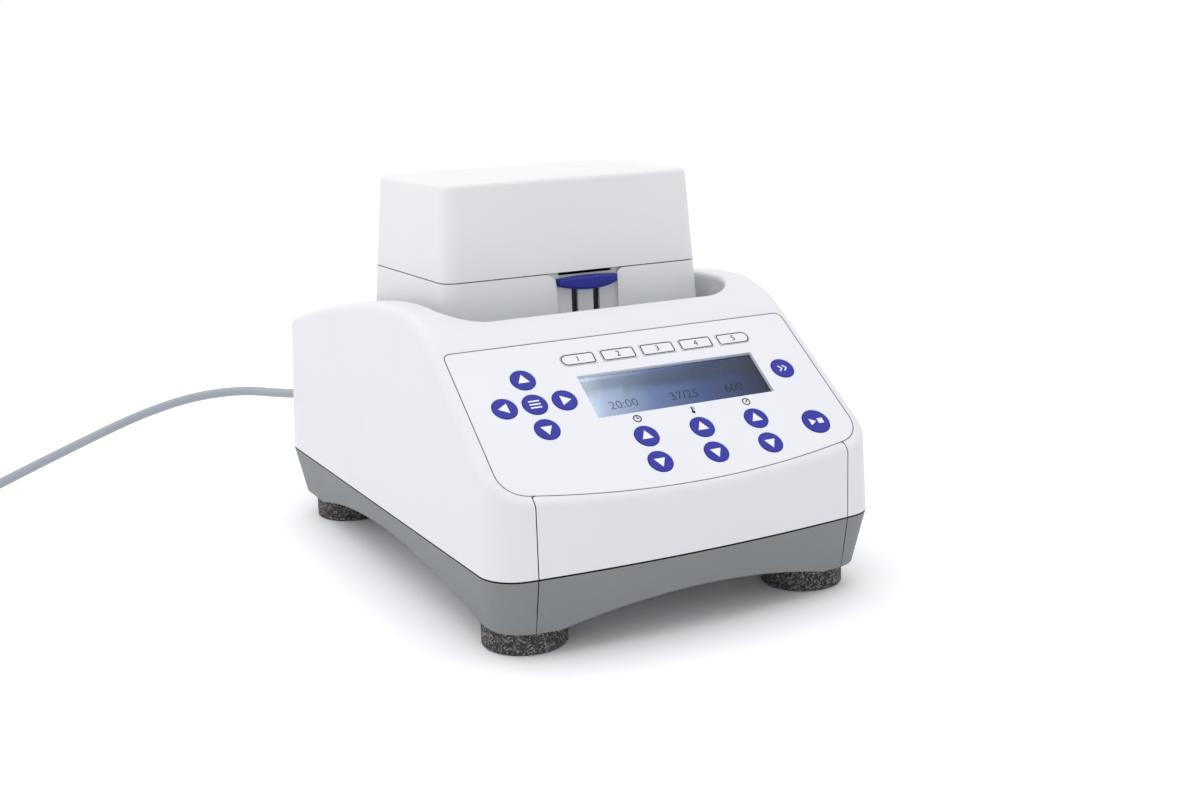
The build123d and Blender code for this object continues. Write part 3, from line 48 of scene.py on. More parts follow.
# ---------------------------------------------------------------- camera
# A short tele lens a little above the bench, in front of the machine and to its left.
# The angles are the camera's turn about the vertical, its dip towards the bench and its tilt.
camera_place = (-0.34754, -0.72123, 0.26198)
camera_turn, camera_dip, camera_tilt = radians(-27.41), radians(12.78), radians(-1.92)
sensor_width, focal_length = 36.0, 45.844
bpy.ops.object.camera_add(location=camera_place)
camera = bpy.context.object
camera.name = "camera"
camera.rotation_euler = (
    Matrix.Rotation(camera_turn, 3, "Z")
    @ Matrix.Rotation(pi / 2 - camera_dip, 3, "X")
    @ Matrix.Rotation(camera_tilt, 3, "Z")
).to_euler()
camera.data.sensor_width = sensor_width
camera.data.lens = focal_length
camera.data.clip_end = 20.0
bpy.context.scene.camera = camera


# ---------------------------------------------------------------- mains lead
# Three-core lead in a round grey PVC sheath. It leaves its connector behind the casing, sinks to the
# bench in one wide bend and ends in a round coil of two layers, with the plug's end leaving the top one.
lead_diameter, lead_length = 6.0 * mm, 1.75
lead_route = [
    (-66, 205, 54.5), (-67.5, 226, 52.6), (-79, 254, 49.4), (-98, 283, 49), (-128, 300.5, 45),
    (-162, 304.5, 36.6), (-197, 299, 26.2), (-231, 288, 17), (-264, 268, 10.4), (-293, 245, 5.8),
    (-322, 214, 3.4),
]
lead_tail = [(-361.5, 129, 11), (-359, 108, 16), (-358, 90, 18.5)]
coil_centre = (-322, 150)
coil_outer_r = 39.0
coil_start = radians(144)
coil_turns = 6.1
turn_points = 18
change_rate = 6     # the sheath moves over by its own width within a sixth of a turn


def ease(share):
    """Smooth step from 0 to 1."""
    share = min(max(share, 0.0), 1.0)
    return share * share * (3 - 2 * share)


def coil_point(turns):
    """Centre of the sheath after so many turns: three turns inwards, then three outwards on top."""
    step = lead_diameter / mm
    whole, part = divmod(turns, 1.0)
    if whole < 2:
        radius = coil_outer_r - step * (whole + ease(change_rate * part - 5))
    elif whole < 3:
        radius = coil_outer_r - 2 * step
    elif whole < 5:
        radius = coil_outer_r - step * (5 - whole - ease(change_rate * part - 3))
    else:
        radius = coil_outer_r
    rise = ease(change_rate * (turns - 2) - 4)
    radius /= cos(pi / turn_points)
    angle = coil_start + 2 * pi * turns
    return (coil_centre[0] + radius * cos(angle), coil_centre[1] + radius * sin(angle), step * (0.5 + rise))


lead_points = list(lead_route)
lead_points += [coil_point(i / turn_points) for i in range(int(coil_turns * turn_points) + 1)]
lead_points.append(coil_point(coil_turns))
lead_points += lead_tail
lead_curve = bpy.data.curves.new("mains_lead", "CURVE")
lead_curve.dimensions = "3D"
lead_spline = lead_curve.splines.new("NURBS")
lead_spline.points.add(len(lead_points) - 1)
for point, (x, y, z) in zip(lead_spline.points, lead_points):
    point.co = (x * mm, y * mm, z * mm, 1.0)
    point.radius = lead_diameter / 2
lead_spline.order_u = 3
lead_spline.use_endpoint_u = True
lead_spline.resolution_u = 6
lead_curve.bevel_depth = 1.0
lead_curve.bevel_resolution = 4
mains_lead = bpy.data.objects.new("mains_lead", lead_curve)
bpy.context.scene.collection.objects.link(mains_lead)
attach(mains_lead, "base")
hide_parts("mains_cord", "cord_coil")


def linear(code):
    """Turns an sRGB hex code into the linear colour that a shader takes."""
    channels = [int(code[i:i + 2], 16) / 255 for i in (1, 3, 5)]
    return [c / 12.92 if c <= 0.04045 else ((c + 0.055) / 1.055) ** 2.4 for c in channels] + [1.0]


def add_node(tree, kind, settings=(), values=(), links=()):
    """Adds one node with its settings, its input values and what is linked into it."""
    node = tree.nodes.new(kind)
    for name, value in dict(settings).items():
        setattr(node, name, value)
    for name, value in dict(values).items():
        node.inputs[name].default_value = value
    for name, source in dict(links).items():
        tree.links.new(source, node.inputs[name])
    return node


def start_material(name, **values):
    """A new material with its shader's plain values set; returns it, its node tree and the shader."""
    material = bpy.data.materials.new(name)
    material.use_nodes = True
    shader = material.node_tree.nodes["Principled BSDF"]
    for socket, value in values.items():
        shader.inputs[socket.replace("_", " ")].default_value = value
    return material, material.node_tree, shader


flow_mark = 40.0 * mm


def moulded(name, code, shade_code, roughness, grain, depth, **values):
    """An injection-moulded plastic: near even colour, and the fine spark-eroded grain of its mould.

    The grain is a few times coarser than the real one, which would be too fine to show.
    """
    material, tree, shader = start_material(name, IOR=1.5, **values)
    place = add_node(tree, "ShaderNodeTexCoord").outputs["Object"]
    cloud = add_node(tree, "ShaderNodeTexNoise", values={"Scale": 1 / flow_mark, "Detail": 3.0},
                     links={"Vector": place})
    tint = add_node(tree, "ShaderNodeMix", {"data_type": "RGBA"}, {6: linear(code), 7: linear(shade_code)},
                    {0: cloud.outputs["Fac"]})
    tree.links.new(tint.outputs[2], shader.inputs["Base Color"])
    gloss = add_node(tree, "ShaderNodeMapRange",
                     values={"To Min": roughness - 0.05, "To Max": roughness + 0.06},
                     links={"Value": cloud.outputs["Fac"]})
    tree.links.new(gloss.outputs["Result"], shader.inputs["Roughness"])
    pits = add_node(tree, "ShaderNodeTexNoise", values={"Scale": 1 / grain, "Detail": 2.0},
                    links={"Vector": place})
    bump = add_node(tree, "ShaderNodeBump", values={"Strength": 0.35, "Distance": depth},
                    links={"Height": pits.outputs["Fac"]})
    tree.links.new(bump.outputs["Normal"], shader.inputs["Normal"])
    return material


def finish(material, *names):
    """Gives CAD nodes their finish."""
    for name in names:
        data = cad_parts[name].data
        data.materials.clear()
        data.materials.append(material)


# Soft PVC, extruded: a faint waxy sheen, greyer than the casing.
sheath_grey, sheath_shade = "#A9AFB7", "#A2A8B0"
pvc_sheath = moulded("pvc_sheath", sheath_grey, sheath_shade, 0.42, 0.5 * mm, 0.02 * mm,
                     Specular_IOR_Level=0.4)
mains_lead.data.materials.append(pvc_sheath)


# ---------------------------------------------------------------- connector and plug
# Both are moulded onto the lead in the same PVC. The plug's two pins are nickel-plated brass, so the
# finish changes from plastic to metal where the pins leave the plug's face.
pin_length, drawn_size = 19.0 * mm, 2.0 * mm
plug_face_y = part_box("mains_plug")[0].y + pin_length
nickel_pins, tree, shader = start_material("pvc_with_nickel_pins", IOR=1.5)
place = add_node(tree, "ShaderNodeTexCoord").outputs["Object"]
axes = add_node(tree, "ShaderNodeSeparateXYZ", links={"Vector": place})
is_pin = add_node(tree, "ShaderNodeMath", {"operation": "LESS_THAN"}, {1: plug_face_y},
                  {0: axes.outputs["Y"]})
drawn = add_node(tree, "ShaderNodeTexNoise", values={"Scale": 1 / drawn_size}, links={"Vector": place})
plastic = add_node(tree, "ShaderNodeMix", {"data_type": "RGBA"},
                   {6: linear(sheath_grey), 7: linear(sheath_shade)}, {0: drawn.outputs["Fac"]})
colour = add_node(tree, "ShaderNodeMix", {"data_type": "RGBA"}, {7: linear("#C9C6BC")},
                  {0: is_pin.outputs[0], 6: plastic.outputs[2]})
tree.links.new(colour.outputs[2], shader.inputs["Base Color"])
tree.links.new(is_pin.outputs[0], shader.inputs["Metallic"])
gloss = add_node(tree, "ShaderNodeMapRange", values={"To Min": 0.45, "To Max": 0.22},
                 links={"Value": is_pin.outputs[0]})
tree.links.new(gloss.outputs["Result"], shader.inputs["Roughness"])
finish(nickel_pins, "mains_plug")
finish(pvc_sheath, "mains_connector")


# ---------------------------------------------------------------- white casing
# Housing and front cover are moulded in white ABS with a satin surface. The well's liner is the same
# plastic from a rougher mould, a little greyer. The housing sits over the tub with an open joint, and
# the front cover clips in between two narrow seams.
white_abs = moulded("white_abs", "#EBECF1", "#E7E8EE", 0.36, 0.6 * mm, 0.012 * mm, Coat_Weight=0.08)
liner_abs = moulded("liner_abs", "#DCDFE0", "#D5D8DA", 0.52, 0.8 * mm, 0.03 * mm)
finish(white_abs, "upper_housing", "front_fascia")
finish(liner_abs, "well_liner", "well_floor")

joint_top, joint_gap = 39.4 * mm, 0.6 * mm
housing_shade, tub_shade = 0.18 * mm, 0.1 * mm
seam_gap, seam_shade, seam_rear_y = 0.4 * mm, 0.04 * mm, -143.5 * mm
seam_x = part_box("front_fascia")[1].x + seam_gap / 2


def dull_joint(material, side, level):
    """Paints shade: faces in the joint over the tub and in the seams beside the cover are painted dark,
    where no light gets in.
    """
    tree = material.node_tree
    colour = tree.nodes["Principled BSDF"].inputs["Base Color"]
    place = add_node(tree, "ShaderNodeTexCoord").outputs["Object"]
    axes = add_node(tree, "ShaderNodeSeparateXYZ", links={"Vector": place})
    joint = add_node(tree, "ShaderNodeMath", {"operation": side}, {1: level}, {0: axes.outputs["Z"]})
    across = add_node(tree, "ShaderNodeMath", {"operation": "ABSOLUTE"}, links={0: axes.outputs["X"]})
    beside = add_node(tree, "ShaderNodeMath", {"operation": "COMPARE"},
                      {1: seam_x, 2: seam_gap / 2 + seam_shade}, {0: across.outputs[0]})
    ahead = add_node(tree, "ShaderNodeMath", {"operation": "LESS_THAN"}, {1: seam_rear_y},
                     {0: axes.outputs["Y"]})
    seam = add_node(tree, "ShaderNodeMath", {"operation": "MULTIPLY"},
                    links={0: beside.outputs[0], 1: ahead.outputs[0]})
    inside = add_node(tree, "ShaderNodeMath", {"operation": "MAXIMUM"},
                      links={0: joint.outputs[0], 1: seam.outputs[0]})
    joint_shade_mix = add_node(tree, "ShaderNodeMix", {"data_type": "RGBA"}, {7: linear("#0C0C0D")},
                     {0: inside.outputs[0], 6: colour.links[0].from_socket})
    tree.links.new(joint_shade_mix.outputs[2], colour)


# Painted shade on the housing's lowest faces, in the joint and a little above it.
dull_joint(white_abs, "LESS_THAN", joint_top + housing_shade)


# ---------------------------------------------------------------- grey tub
# The lower half and its front skirt are grey ABS from a more deeply etched mould, so they look matt.
# The tub carries the housing on screw bosses, and the skirt closes its front.
grey_abs = moulded("grey_abs", "#878B8D", "#818587", 0.55, 0.7 * mm, 0.04 * mm)
finish(grey_abs, "base_tub", "front_skirt")
# Painted shade on the tub's top rim, in the joint.
dull_joint(grey_abs, "GREATER_THAN", joint_top - joint_gap - tub_shade)


# ---------------------------------------------------------------- feet
# Discs cut from a block of cellular rubber granulate: dark crumbs with lighter grey ones between them,
# and open pores on every cut face.
crumb_size, pore_edge = 0.8 * mm, (0.38, 0.5)
crumb_rubber, tree, shader = start_material("bonded_rubber_crumb", Roughness=0.9, IOR=1.5)
place = add_node(tree, "ShaderNodeTexCoord").outputs["Object"]
crumbs = add_node(tree, "ShaderNodeTexVoronoi", {"feature": "F1"}, {"Scale": 1 / crumb_size},
                  {"Vector": place})
crumb_tone = add_node(tree, "ShaderNodeSeparateColor", links={"Color": crumbs.outputs["Color"]})
ramp = add_node(tree, "ShaderNodeValToRGB", links={"Fac": crumb_tone.outputs["Red"]})
ramp.color_ramp.elements[0].color = linear("#343230")
ramp.color_ramp.elements[1].color = linear("#A8A6A1")
ramp.color_ramp.elements.new(0.55).color = linear("#5C5A57")
pores = add_node(tree, "ShaderNodeTexNoise", values={"Scale": 1 / crumb_size, "Detail": 4.0},
                 links={"Vector": place})
pore_mask = add_node(tree, "ShaderNodeMapRange", values={"From Min": pore_edge[0], "From Max": pore_edge[1]},
                     links={"Value": pores.outputs["Fac"]})
speckle = add_node(tree, "ShaderNodeMix", {"data_type": "RGBA"}, {6: linear("#2A2928")},
                   {0: pore_mask.outputs["Result"], 7: ramp.outputs["Color"]})
tree.links.new(speckle.outputs[2], shader.inputs["Base Color"])
crumb_bump = add_node(tree, "ShaderNodeBump", values={"Strength": 0.9, "Distance": 0.5 * mm},
                      links={"Height": pore_mask.outputs["Result"]})
tree.links.new(crumb_bump.outputs["Normal"], shader.inputs["Normal"])
finish(crumb_rubber, "rubber_feet")


# ---------------------------------------------------------------- keypad foil and keys
# The panel is covered by a matt polyester foil. Its round keys are blue, the program keys are white like
# the foil, and every sign is screen printed.
foil = moulded("matt_polyester_foil", "#EFF1F7", "#ECEEF5", 0.45, 0.4 * mm, 0.008 * mm)
key_blue = moulded("blue_key_cap", "#272BA4", "#23279B", 0.45, 0.4 * mm, 0.01 * mm, Specular_IOR_Level=0.35)
key_names = [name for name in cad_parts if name.startswith("key_")]
program_names = [name for name in key_names if name.startswith("key_program")]
round_names = [name for name in key_names if name not in program_names]
finish(foil, "keypad_overlay", *program_names)
finish(key_blue, *round_names)

# The panel's own frame: x to the right, s up the slope, and the level over the foil's face.
panel_rise, panel_origin = 0.763, (0, -110.0 * mm, 101.67 * mm)
panel_place = Matrix.Translation(panel_origin) @ Matrix.Rotation(atan(panel_rise), 4, "X")
panel_normal = panel_place.to_3x3() @ Vector((0, 0, 1))

# The groove that the foil is let into lies in shade, and that shade is painted: a fine dark line along the
# outline of the foil's upper face, drawn as a bead.
bead_r, bead_sink = 0.24 * mm, 0.08 * mm
same_point, facing_out = 0.01 * mm, 0.99
outline = bpy.data.objects.new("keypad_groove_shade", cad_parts["keypad_overlay"].data.copy())
bpy.context.scene.collection.objects.link(outline)
bpy.ops.object.select_all(action="DESELECT")
outline.select_set(True)
bpy.context.view_layer.objects.active = outline
bpy.ops.object.mode_set(mode="EDIT")
bpy.ops.mesh.select_mode(type="FACE")
bpy.ops.mesh.select_all(action="SELECT")
bpy.ops.mesh.remove_doubles(threshold=same_point)
bpy.ops.object.mode_set(mode="OBJECT")
for face in outline.data.polygons:
    face.select = face.normal.dot(panel_normal) < facing_out
bpy.ops.object.mode_set(mode="EDIT")
bpy.ops.mesh.delete(type="FACE")
bpy.ops.mesh.select_all(action="SELECT")
bpy.ops.mesh.region_to_loop()
bpy.ops.mesh.select_all(action="INVERT")
bpy.ops.mesh.delete(type="EDGE")
bpy.ops.mesh.select_mode(type="VERT")
bpy.ops.mesh.separate(type="LOOSE")
bpy.ops.object.mode_set(mode="OBJECT")
loops = sorted(bpy.context.selected_objects, key=lambda loop: loop.dimensions.x)
keypad_groove_shade = loops.pop()
keypad_groove_shade.select_set(False)
bpy.ops.object.delete()
keypad_groove_shade.name = "keypad_groove_shade"
keypad_groove_shade.select_set(True)
bpy.context.view_layer.objects.active = keypad_groove_shade
bpy.ops.object.convert(target="CURVE")
keypad_groove_shade.data.bevel_depth = bead_r
keypad_groove_shade.data.bevel_resolution = 1
bpy.ops.object.convert(target="MESH")
keypad_groove_shade.location = -bead_sink * panel_normal
bpy.ops.object.transform_apply(location=True)
# Painted shade: the bead's dark grey stands for the shade in the groove.
groove_shade = moulded("painted_groove_shade", "#6A6C74", "#62646C", 0.6, 0.4 * mm, 0.01 * mm)
keypad_groove_shade.data.materials.clear()
keypad_groove_shade.data.materials.append(groove_shade)
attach(keypad_groove_shade, "base")


ink_mesh, ink = 0.6 * mm, 0.05 * mm


def printed_ink(name, code):
    """Opaque screen-printing ink: dull, with the slightly uneven tone that the screen's mesh leaves."""
    material, tree, shader = start_material(name, Roughness=0.55)
    place = add_node(tree, "ShaderNodeTexCoord").outputs["Object"]
    mesh_tone = add_node(tree, "ShaderNodeTexNoise", values={"Scale": 1 / ink_mesh},
                         links={"Vector": place})
    tone = add_node(tree, "ShaderNodeHueSaturation", values={"Color": linear(code)})
    strength = add_node(tree, "ShaderNodeMapRange", values={"To Min": 0.92, "To Max": 1.08},
                        links={"Value": mesh_tone.outputs["Fac"]})
    tree.links.new(strength.outputs["Result"], tone.inputs["Value"])
    tree.links.new(tone.outputs["Color"], shader.inputs["Base Color"])
    return material


white_ink = printed_ink("white_ink", "#F6F6FA")
dark_ink = printed_ink("dark_blue_ink", "#14162E")


def polygon(radius, corners=32, turn=0.0, at=(0, 0)):
    """A flat printed disc, or an arrow head when it has three corners."""
    bpy.ops.mesh.primitive_circle_add(vertices=corners, radius=radius, fill_type="NGON",
                                      location=(at[0], at[1], 0), rotation=(0, 0, turn))
    return bpy.context.object


def bar(width, height, turn=0.0, at=(0, 0)):
    """A flat printed bar."""
    bpy.ops.mesh.primitive_plane_add(size=1, location=(at[0], at[1], 0), rotation=(0, 0, turn))
    bpy.context.object.scale = (width, height, 1)
    return bpy.context.object


def ring(radius, width, at=(0, 0)):
    """A flat printed ring."""
    piece = polygon(radius, 40, at=at)
    bpy.ops.object.mode_set(mode="EDIT")
    bpy.ops.mesh.select_all(action="SELECT")
    bpy.ops.mesh.inset(thickness=width)
    bpy.ops.mesh.delete(type="FACE")
    bpy.ops.object.mode_set(mode="OBJECT")
    return piece


def print_sign(name, shapes, x, s, level, material, body):
    """Joins flat shapes to one sign, gives it the ink's thickness and lays it on the panel."""
    bpy.ops.object.select_all(action="DESELECT")
    for shape in shapes:
        shape.select_set(True)
    bpy.context.view_layer.objects.active = shapes[0]
    bpy.ops.object.transform_apply(location=True, rotation=True, scale=True)
    if len(shapes) > 1:
        bpy.ops.object.join()
    sign = bpy.context.object
    sign.name = name
    sign.data.name = name
    bpy.ops.object.mode_set(mode="EDIT")
    bpy.ops.mesh.select_all(action="SELECT")
    bpy.ops.mesh.extrude_region_move(TRANSFORM_OT_translate={"value": (0, 0, ink)})
    bpy.ops.mesh.select_all(action="SELECT")
    bpy.ops.mesh.normals_make_consistent(inside=False)
    bpy.ops.object.mode_set(mode="OBJECT")
    sign.matrix_world = panel_place @ Matrix.Translation((x, s, level))
    bpy.ops.object.transform_apply(location=True, rotation=True, scale=True)
    sign.data.materials.clear()
    sign.data.materials.append(material)
    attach(sign, body)
    bpy.ops.object.select_all(action="DESELECT")
    return sign


# White arrow heads on the four ring keys round the middle one and on the three pairs.
key_top, arrow_r = 0.2 * mm, 3.35 * mm
nav_x, nav_s, nav_pitch = -60.8 * mm, 8.0 * mm, 15.2 * mm
pair_x = {"time": -15.1 * mm, "temp": 14.8 * mm, "speed": 44.9 * mm}
pair_up_s, pair_down_s, pair_sign_s = -19.8 * mm, -35.2 * mm, -9.0 * mm
right_key_x, short_key_s, start_key_s = 75.3 * mm, 8.0 * mm, -27.5 * mm
arrows = {
    "key_up": (nav_x, nav_s + nav_pitch, 0), "key_down": (nav_x, nav_s - nav_pitch, 2),
    "key_left": (nav_x - nav_pitch, nav_s, 1), "key_right": (nav_x + nav_pitch, nav_s, 3),
}
for quantity, x in pair_x.items():
    arrows[f"key_{quantity}_up"] = (x, pair_up_s, 0)
    arrows[f"key_{quantity}_down"] = (x, pair_down_s, 2)
for name, (x, s, quarter) in arrows.items():
    head = polygon(arrow_r, 3, quarter * pi / 2)
    print_sign(f"arrow_{name}", [head], x, s, key_top, white_ink, f"{name}_cap")

# The middle key carries three bars, the short-run key a double chevron, the start key a triangle and a
# square.
print_sign("sign_menu", [bar(5.6 * mm, 0.8 * mm, at=(0, step * 1.9 * mm)) for step in (-1, 0, 1)],
           nav_x, nav_s, key_top, white_ink, "key_menu_cap")
chevron = []
for shift in (-1.3 * mm, 1.3 * mm):
    for side in (-1, 1):
        chevron.append(bar(2.6 * mm, 0.7 * mm, -side * pi / 4, at=(shift, side * 0.82 * mm)))
print_sign("sign_short", chevron, right_key_x, short_key_s, key_top, white_ink, "key_short_cap")
print_sign("sign_start", [polygon(2.3 * mm, 3, -pi / 2, at=(-2.3 * mm, 0)),
                          bar(3.0 * mm, 3.0 * mm, at=(2.5 * mm, 0))],
           right_key_x, start_key_s, key_top, white_ink, "key_start_cap")

# Dark signs on the foil over the pairs: a clock, a thermometer and a dial.
print_sign("sign_clock", [ring(2.2 * mm, 0.6 * mm), bar(0.5 * mm, 1.5 * mm, at=(0, 0.6 * mm)),
                          bar(1.1 * mm, 0.5 * mm, at=(0.45 * mm, 0))],
           pair_x["time"], pair_sign_s, 0, dark_ink, "base")
print_sign("sign_thermometer", [polygon(0.95 * mm, 24, at=(0, -1.2 * mm)),
                                bar(0.75 * mm, 3.2 * mm, at=(0, 0.5 * mm)),
                                bar(0.8 * mm, 0.3 * mm, at=(1.1 * mm, 1.6 * mm)),
                                bar(0.8 * mm, 0.3 * mm, at=(1.1 * mm, 0.7 * mm))],
           pair_x["temp"], pair_sign_s, 0, dark_ink, "base")
print_sign("sign_dial", [ring(2.2 * mm, 0.55 * mm),
                         bar(0.5 * mm, 1.8 * mm, -pi / 4, at=(0.55 * mm, 0.55 * mm)),
                         polygon(0.45 * mm, 16)],
           pair_x["speed"], pair_sign_s, 0, dark_ink, "base")


# ---------------------------------------------------------------- program keys
# Five white keys, each framed by a thin printed line and numbered. The first and the last one are round
# at their outer end.
program_count, program_width, program_height = 5, 18.0 * mm, 7.0 * mm
program_first_x, program_pitch, program_s = -28.7 * mm, 21.75 * mm, 31.5 * mm
line_width, line_margin, number_size = 0.55 * mm, 0.3 * mm, 4.8 * mm
small_corner, round_corner = 1.3 * mm, 3.3 * mm


def key_frame(left_corner, right_corner):
    """The printed line: a rectangle with rounded corners, hollowed by an inset."""
    piece = bar(program_width - line_margin, program_height - line_margin)
    bpy.ops.object.transform_apply(location=False, rotation=False, scale=True)
    for side, radius in ((-1, left_corner), (1, right_corner)):
        bpy.ops.object.mode_set(mode="EDIT")
        bpy.ops.mesh.select_all(action="DESELECT")
        bpy.ops.object.mode_set(mode="OBJECT")
        for vertex in piece.data.vertices:
            vertex.select = side * vertex.co.x > program_width * 0.4
        bpy.ops.object.mode_set(mode="EDIT")
        bpy.ops.mesh.bevel(offset=radius, segments=6, affect="VERTICES")
        bpy.ops.object.mode_set(mode="OBJECT")
    bpy.ops.object.mode_set(mode="EDIT")
    bpy.ops.mesh.select_all(action="SELECT")
    bpy.ops.mesh.inset(thickness=line_width)
    bpy.ops.mesh.delete(type="FACE")
    bpy.ops.object.mode_set(mode="OBJECT")
    return piece


def digits(text, size):
    """Printed figures, made a flat mesh and centred."""
    bpy.ops.object.text_add(location=(0, 0, 0))
    piece = bpy.context.object
    piece.data.body = text
    piece.data.size = size
    piece.data.align_x = "CENTER"
    piece.data.align_y = "CENTER"
    piece.data.resolution_u = 3
    bpy.ops.object.convert(target="MESH")
    return bpy.context.object


for number in range(1, program_count + 1):
    left = round_corner if number == 1 else small_corner
    right = round_corner if number == program_count else small_corner
    x = program_first_x + (number - 1) * program_pitch
    print_sign(f"program_frame_{number}", [key_frame(left, right)], x, program_s, key_top, dark_ink,
               f"key_program_{number}_cap")
    print_sign(f"program_number_{number}", [digits(str(number), number_size)], x, program_s, key_top,
               dark_ink, f"key_program_{number}_cap")


# ---------------------------------------------------------------- display
# A liquid crystal panel behind a clear window. Its ground glows with a painted reflection: a painted glare
# makes it pale blue at the left edge, and it runs to dark slate at the right, with darker figures on it. The
# machine shows the minutes left, the temperature in degrees and the turns of the shaker.
window_thickness, window_depth = 1.2 * mm, 1.6 * mm
lcd_x, lcd_s, lcd_width = 14.75 * mm, 8.0 * mm, 97.0 * mm
lcd_level = -(window_depth + window_thickness)
glare_slant, glare_start = -0.42, lcd_x - lcd_width / 2 + 43.6 * mm
figure_size, figure_s = 7.0 * mm, lcd_s - 5.5 * mm


def liquid_crystal(name, code, share):
    """The glowing ground with a painted glare, brightest at its left edge; a figure glows with only a share
    of it.
    """
    material, tree, shader = start_material(name, Roughness=0.3, IOR=1.5, Specular_IOR_Level=0.1)
    shader.inputs["Base Color"].default_value = linear(code)
    place = add_node(tree, "ShaderNodeTexCoord").outputs["Object"]
    axes = add_node(tree, "ShaderNodeSeparateXYZ", links={"Vector": place})
    slant = add_node(tree, "ShaderNodeMath", {"operation": "MULTIPLY"}, {1: glare_slant},
                     {0: axes.outputs["Y"]})
    across = add_node(tree, "ShaderNodeMath", {"operation": "ADD"},
                      links={0: axes.outputs["X"], 1: slant.outputs[0]})
    spread = add_node(tree, "ShaderNodeMapRange",
                      values={"From Min": glare_start, "From Max": glare_start + lcd_width},
                      links={"Value": across.outputs[0]})
    ramp = add_node(tree, "ShaderNodeValToRGB", links={"Fac": spread.outputs["Result"]})
    ramp.color_ramp.elements[0].color = linear("#D3E3F5")
    ramp.color_ramp.elements[1].color = linear("#12172E")
    for position, light in ((0.09, "#A7B7CF"), (0.36, "#62749A"), (0.64, "#3A4C74")):
        ramp.color_ramp.elements.new(position).color = linear(light)
    # Painted glow and reflection: the ramp is emission, brightest where the glare is painted.
    tree.links.new(ramp.outputs["Color"], shader.inputs["Emission Color"])
    shader.inputs["Emission Strength"].default_value = share
    return material


finish(liquid_crystal("liquid_crystal_panel", "#363F59", 1.12), "display_module")

haze_size = 12.0 * mm
clear_window, tree, shader = start_material("coated_acrylic", Transmission_Weight=1.0, IOR=1.22)
place = add_node(tree, "ShaderNodeTexCoord").outputs["Object"]
haze = add_node(tree, "ShaderNodeTexNoise", values={"Scale": 1 / haze_size}, links={"Vector": place})
gloss = add_node(tree, "ShaderNodeMapRange", values={"To Min": 0.01, "To Max": 0.05},
                 links={"Value": haze.outputs["Fac"]})
tree.links.new(gloss.outputs["Result"], shader.inputs["Roughness"])
finish(clear_window, "display_window")

lcd_figure = liquid_crystal("liquid_crystal_figures", "#08090D", 0.42)
for name, text, dx in (("minutes", "20:00", -31), ("degrees", "37/25", 2), ("turns", "600", 30)):
    print_sign(f"display_{name}", [digits(text, figure_size)], lcd_x + dx * mm, figure_s, lcd_level,
               lcd_figure, "base")


# ---------------------------------------------------------------- block and lid
# The exchangeable block and its lid are moulded in a slightly warmer, duller white than the casing.
# A black silicone cord seals the joint between them.
block_abs = moulded("block_abs", "#EDEFF1", "#E8EAED", 0.42, 0.6 * mm, 0.02 * mm)
silicone = moulded("black_silicone", "#17181A", "#1D1E20", 0.6, 0.5 * mm, 0.02 * mm)
finish(block_abs, "block_housing", "block_lid")
finish(silicone, "lid_seal")

# The rebate behind the joint lies in shadow; that shade is painted into the block's colour as a dark band
# all round, so the joint reads as a fine dark line.
rebate_z, rebate_half = 154.07 * mm, 0.25 * mm
tree = block_abs.node_tree
colour = tree.nodes["Principled BSDF"].inputs["Base Color"]
place = add_node(tree, "ShaderNodeTexCoord").outputs["Object"]
axes = add_node(tree, "ShaderNodeSeparateXYZ", links={"Vector": place})
rebate = add_node(tree, "ShaderNodeMath", {"operation": "COMPARE"}, {1: rebate_z, 2: rebate_half},
                  {0: axes.outputs["Z"]})
painted_rebate_shade = add_node(tree, "ShaderNodeMix", {"data_type": "RGBA"}, {7: linear("#2C2C2E")},
                  {0: rebate.outputs[0], 6: colour.links[0].from_socket})
tree.links.new(painted_rebate_shade.outputs[2], colour)


# ---------------------------------------------------------------- lever
# The lever that locks the block has a blue grip, over-moulded on two sheet-steel legs which run down
# through slots in the block's front.
grip_blue = moulded("blue_lever_grip", "#192193", "#161D87", 0.3, 0.6 * mm, 0.01 * mm,
                    Specular_IOR_Level=0.35)
leg_steel = moulded("blackened_steel_legs", "#1B1A18", "#24231F", 0.45, 0.8 * mm, 0.01 * mm)
finish(grip_blue, "lever_grip")
finish(leg_steel, "lever_legs")


# ---------------------------------------------------------------- metal inside
# Turned, milled and stamped metal: the drive, the block's core and the screws that hold the machine
# together. It is hidden when the machine stands complete, and some shows when the block is lifted off.
tool_stretch = (1.0, 0.05, 1.0)


def machined(name, code, roughness, line):
    """Bare metal with the fine lines that a tool leaves along one direction."""
    material, tree, shader = start_material(name, Metallic=1.0)
    place = add_node(tree, "ShaderNodeTexCoord").outputs["Object"]
    stretch = add_node(tree, "ShaderNodeMapping", values={"Scale": tool_stretch}, links={"Vector": place})
    lines = add_node(tree, "ShaderNodeTexNoise", values={"Scale": 1 / line, "Detail": 3.0},
                     links={"Vector": stretch.outputs["Vector"]})
    tone = add_node(tree, "ShaderNodeHueSaturation", values={"Color": linear(code)})
    shade = add_node(tree, "ShaderNodeMapRange", values={"To Min": 0.9, "To Max": 1.05},
                     links={"Value": lines.outputs["Fac"]})
    tree.links.new(shade.outputs["Result"], tone.inputs["Value"])
    tree.links.new(tone.outputs["Color"], shader.inputs["Base Color"])
    gloss = add_node(tree, "ShaderNodeMapRange",
                     values={"To Min": roughness - 0.08, "To Max": roughness + 0.08},
                     links={"Value": lines.outputs["Fac"]})
    tree.links.new(gloss.outputs["Result"], shader.inputs["Roughness"])
    return material


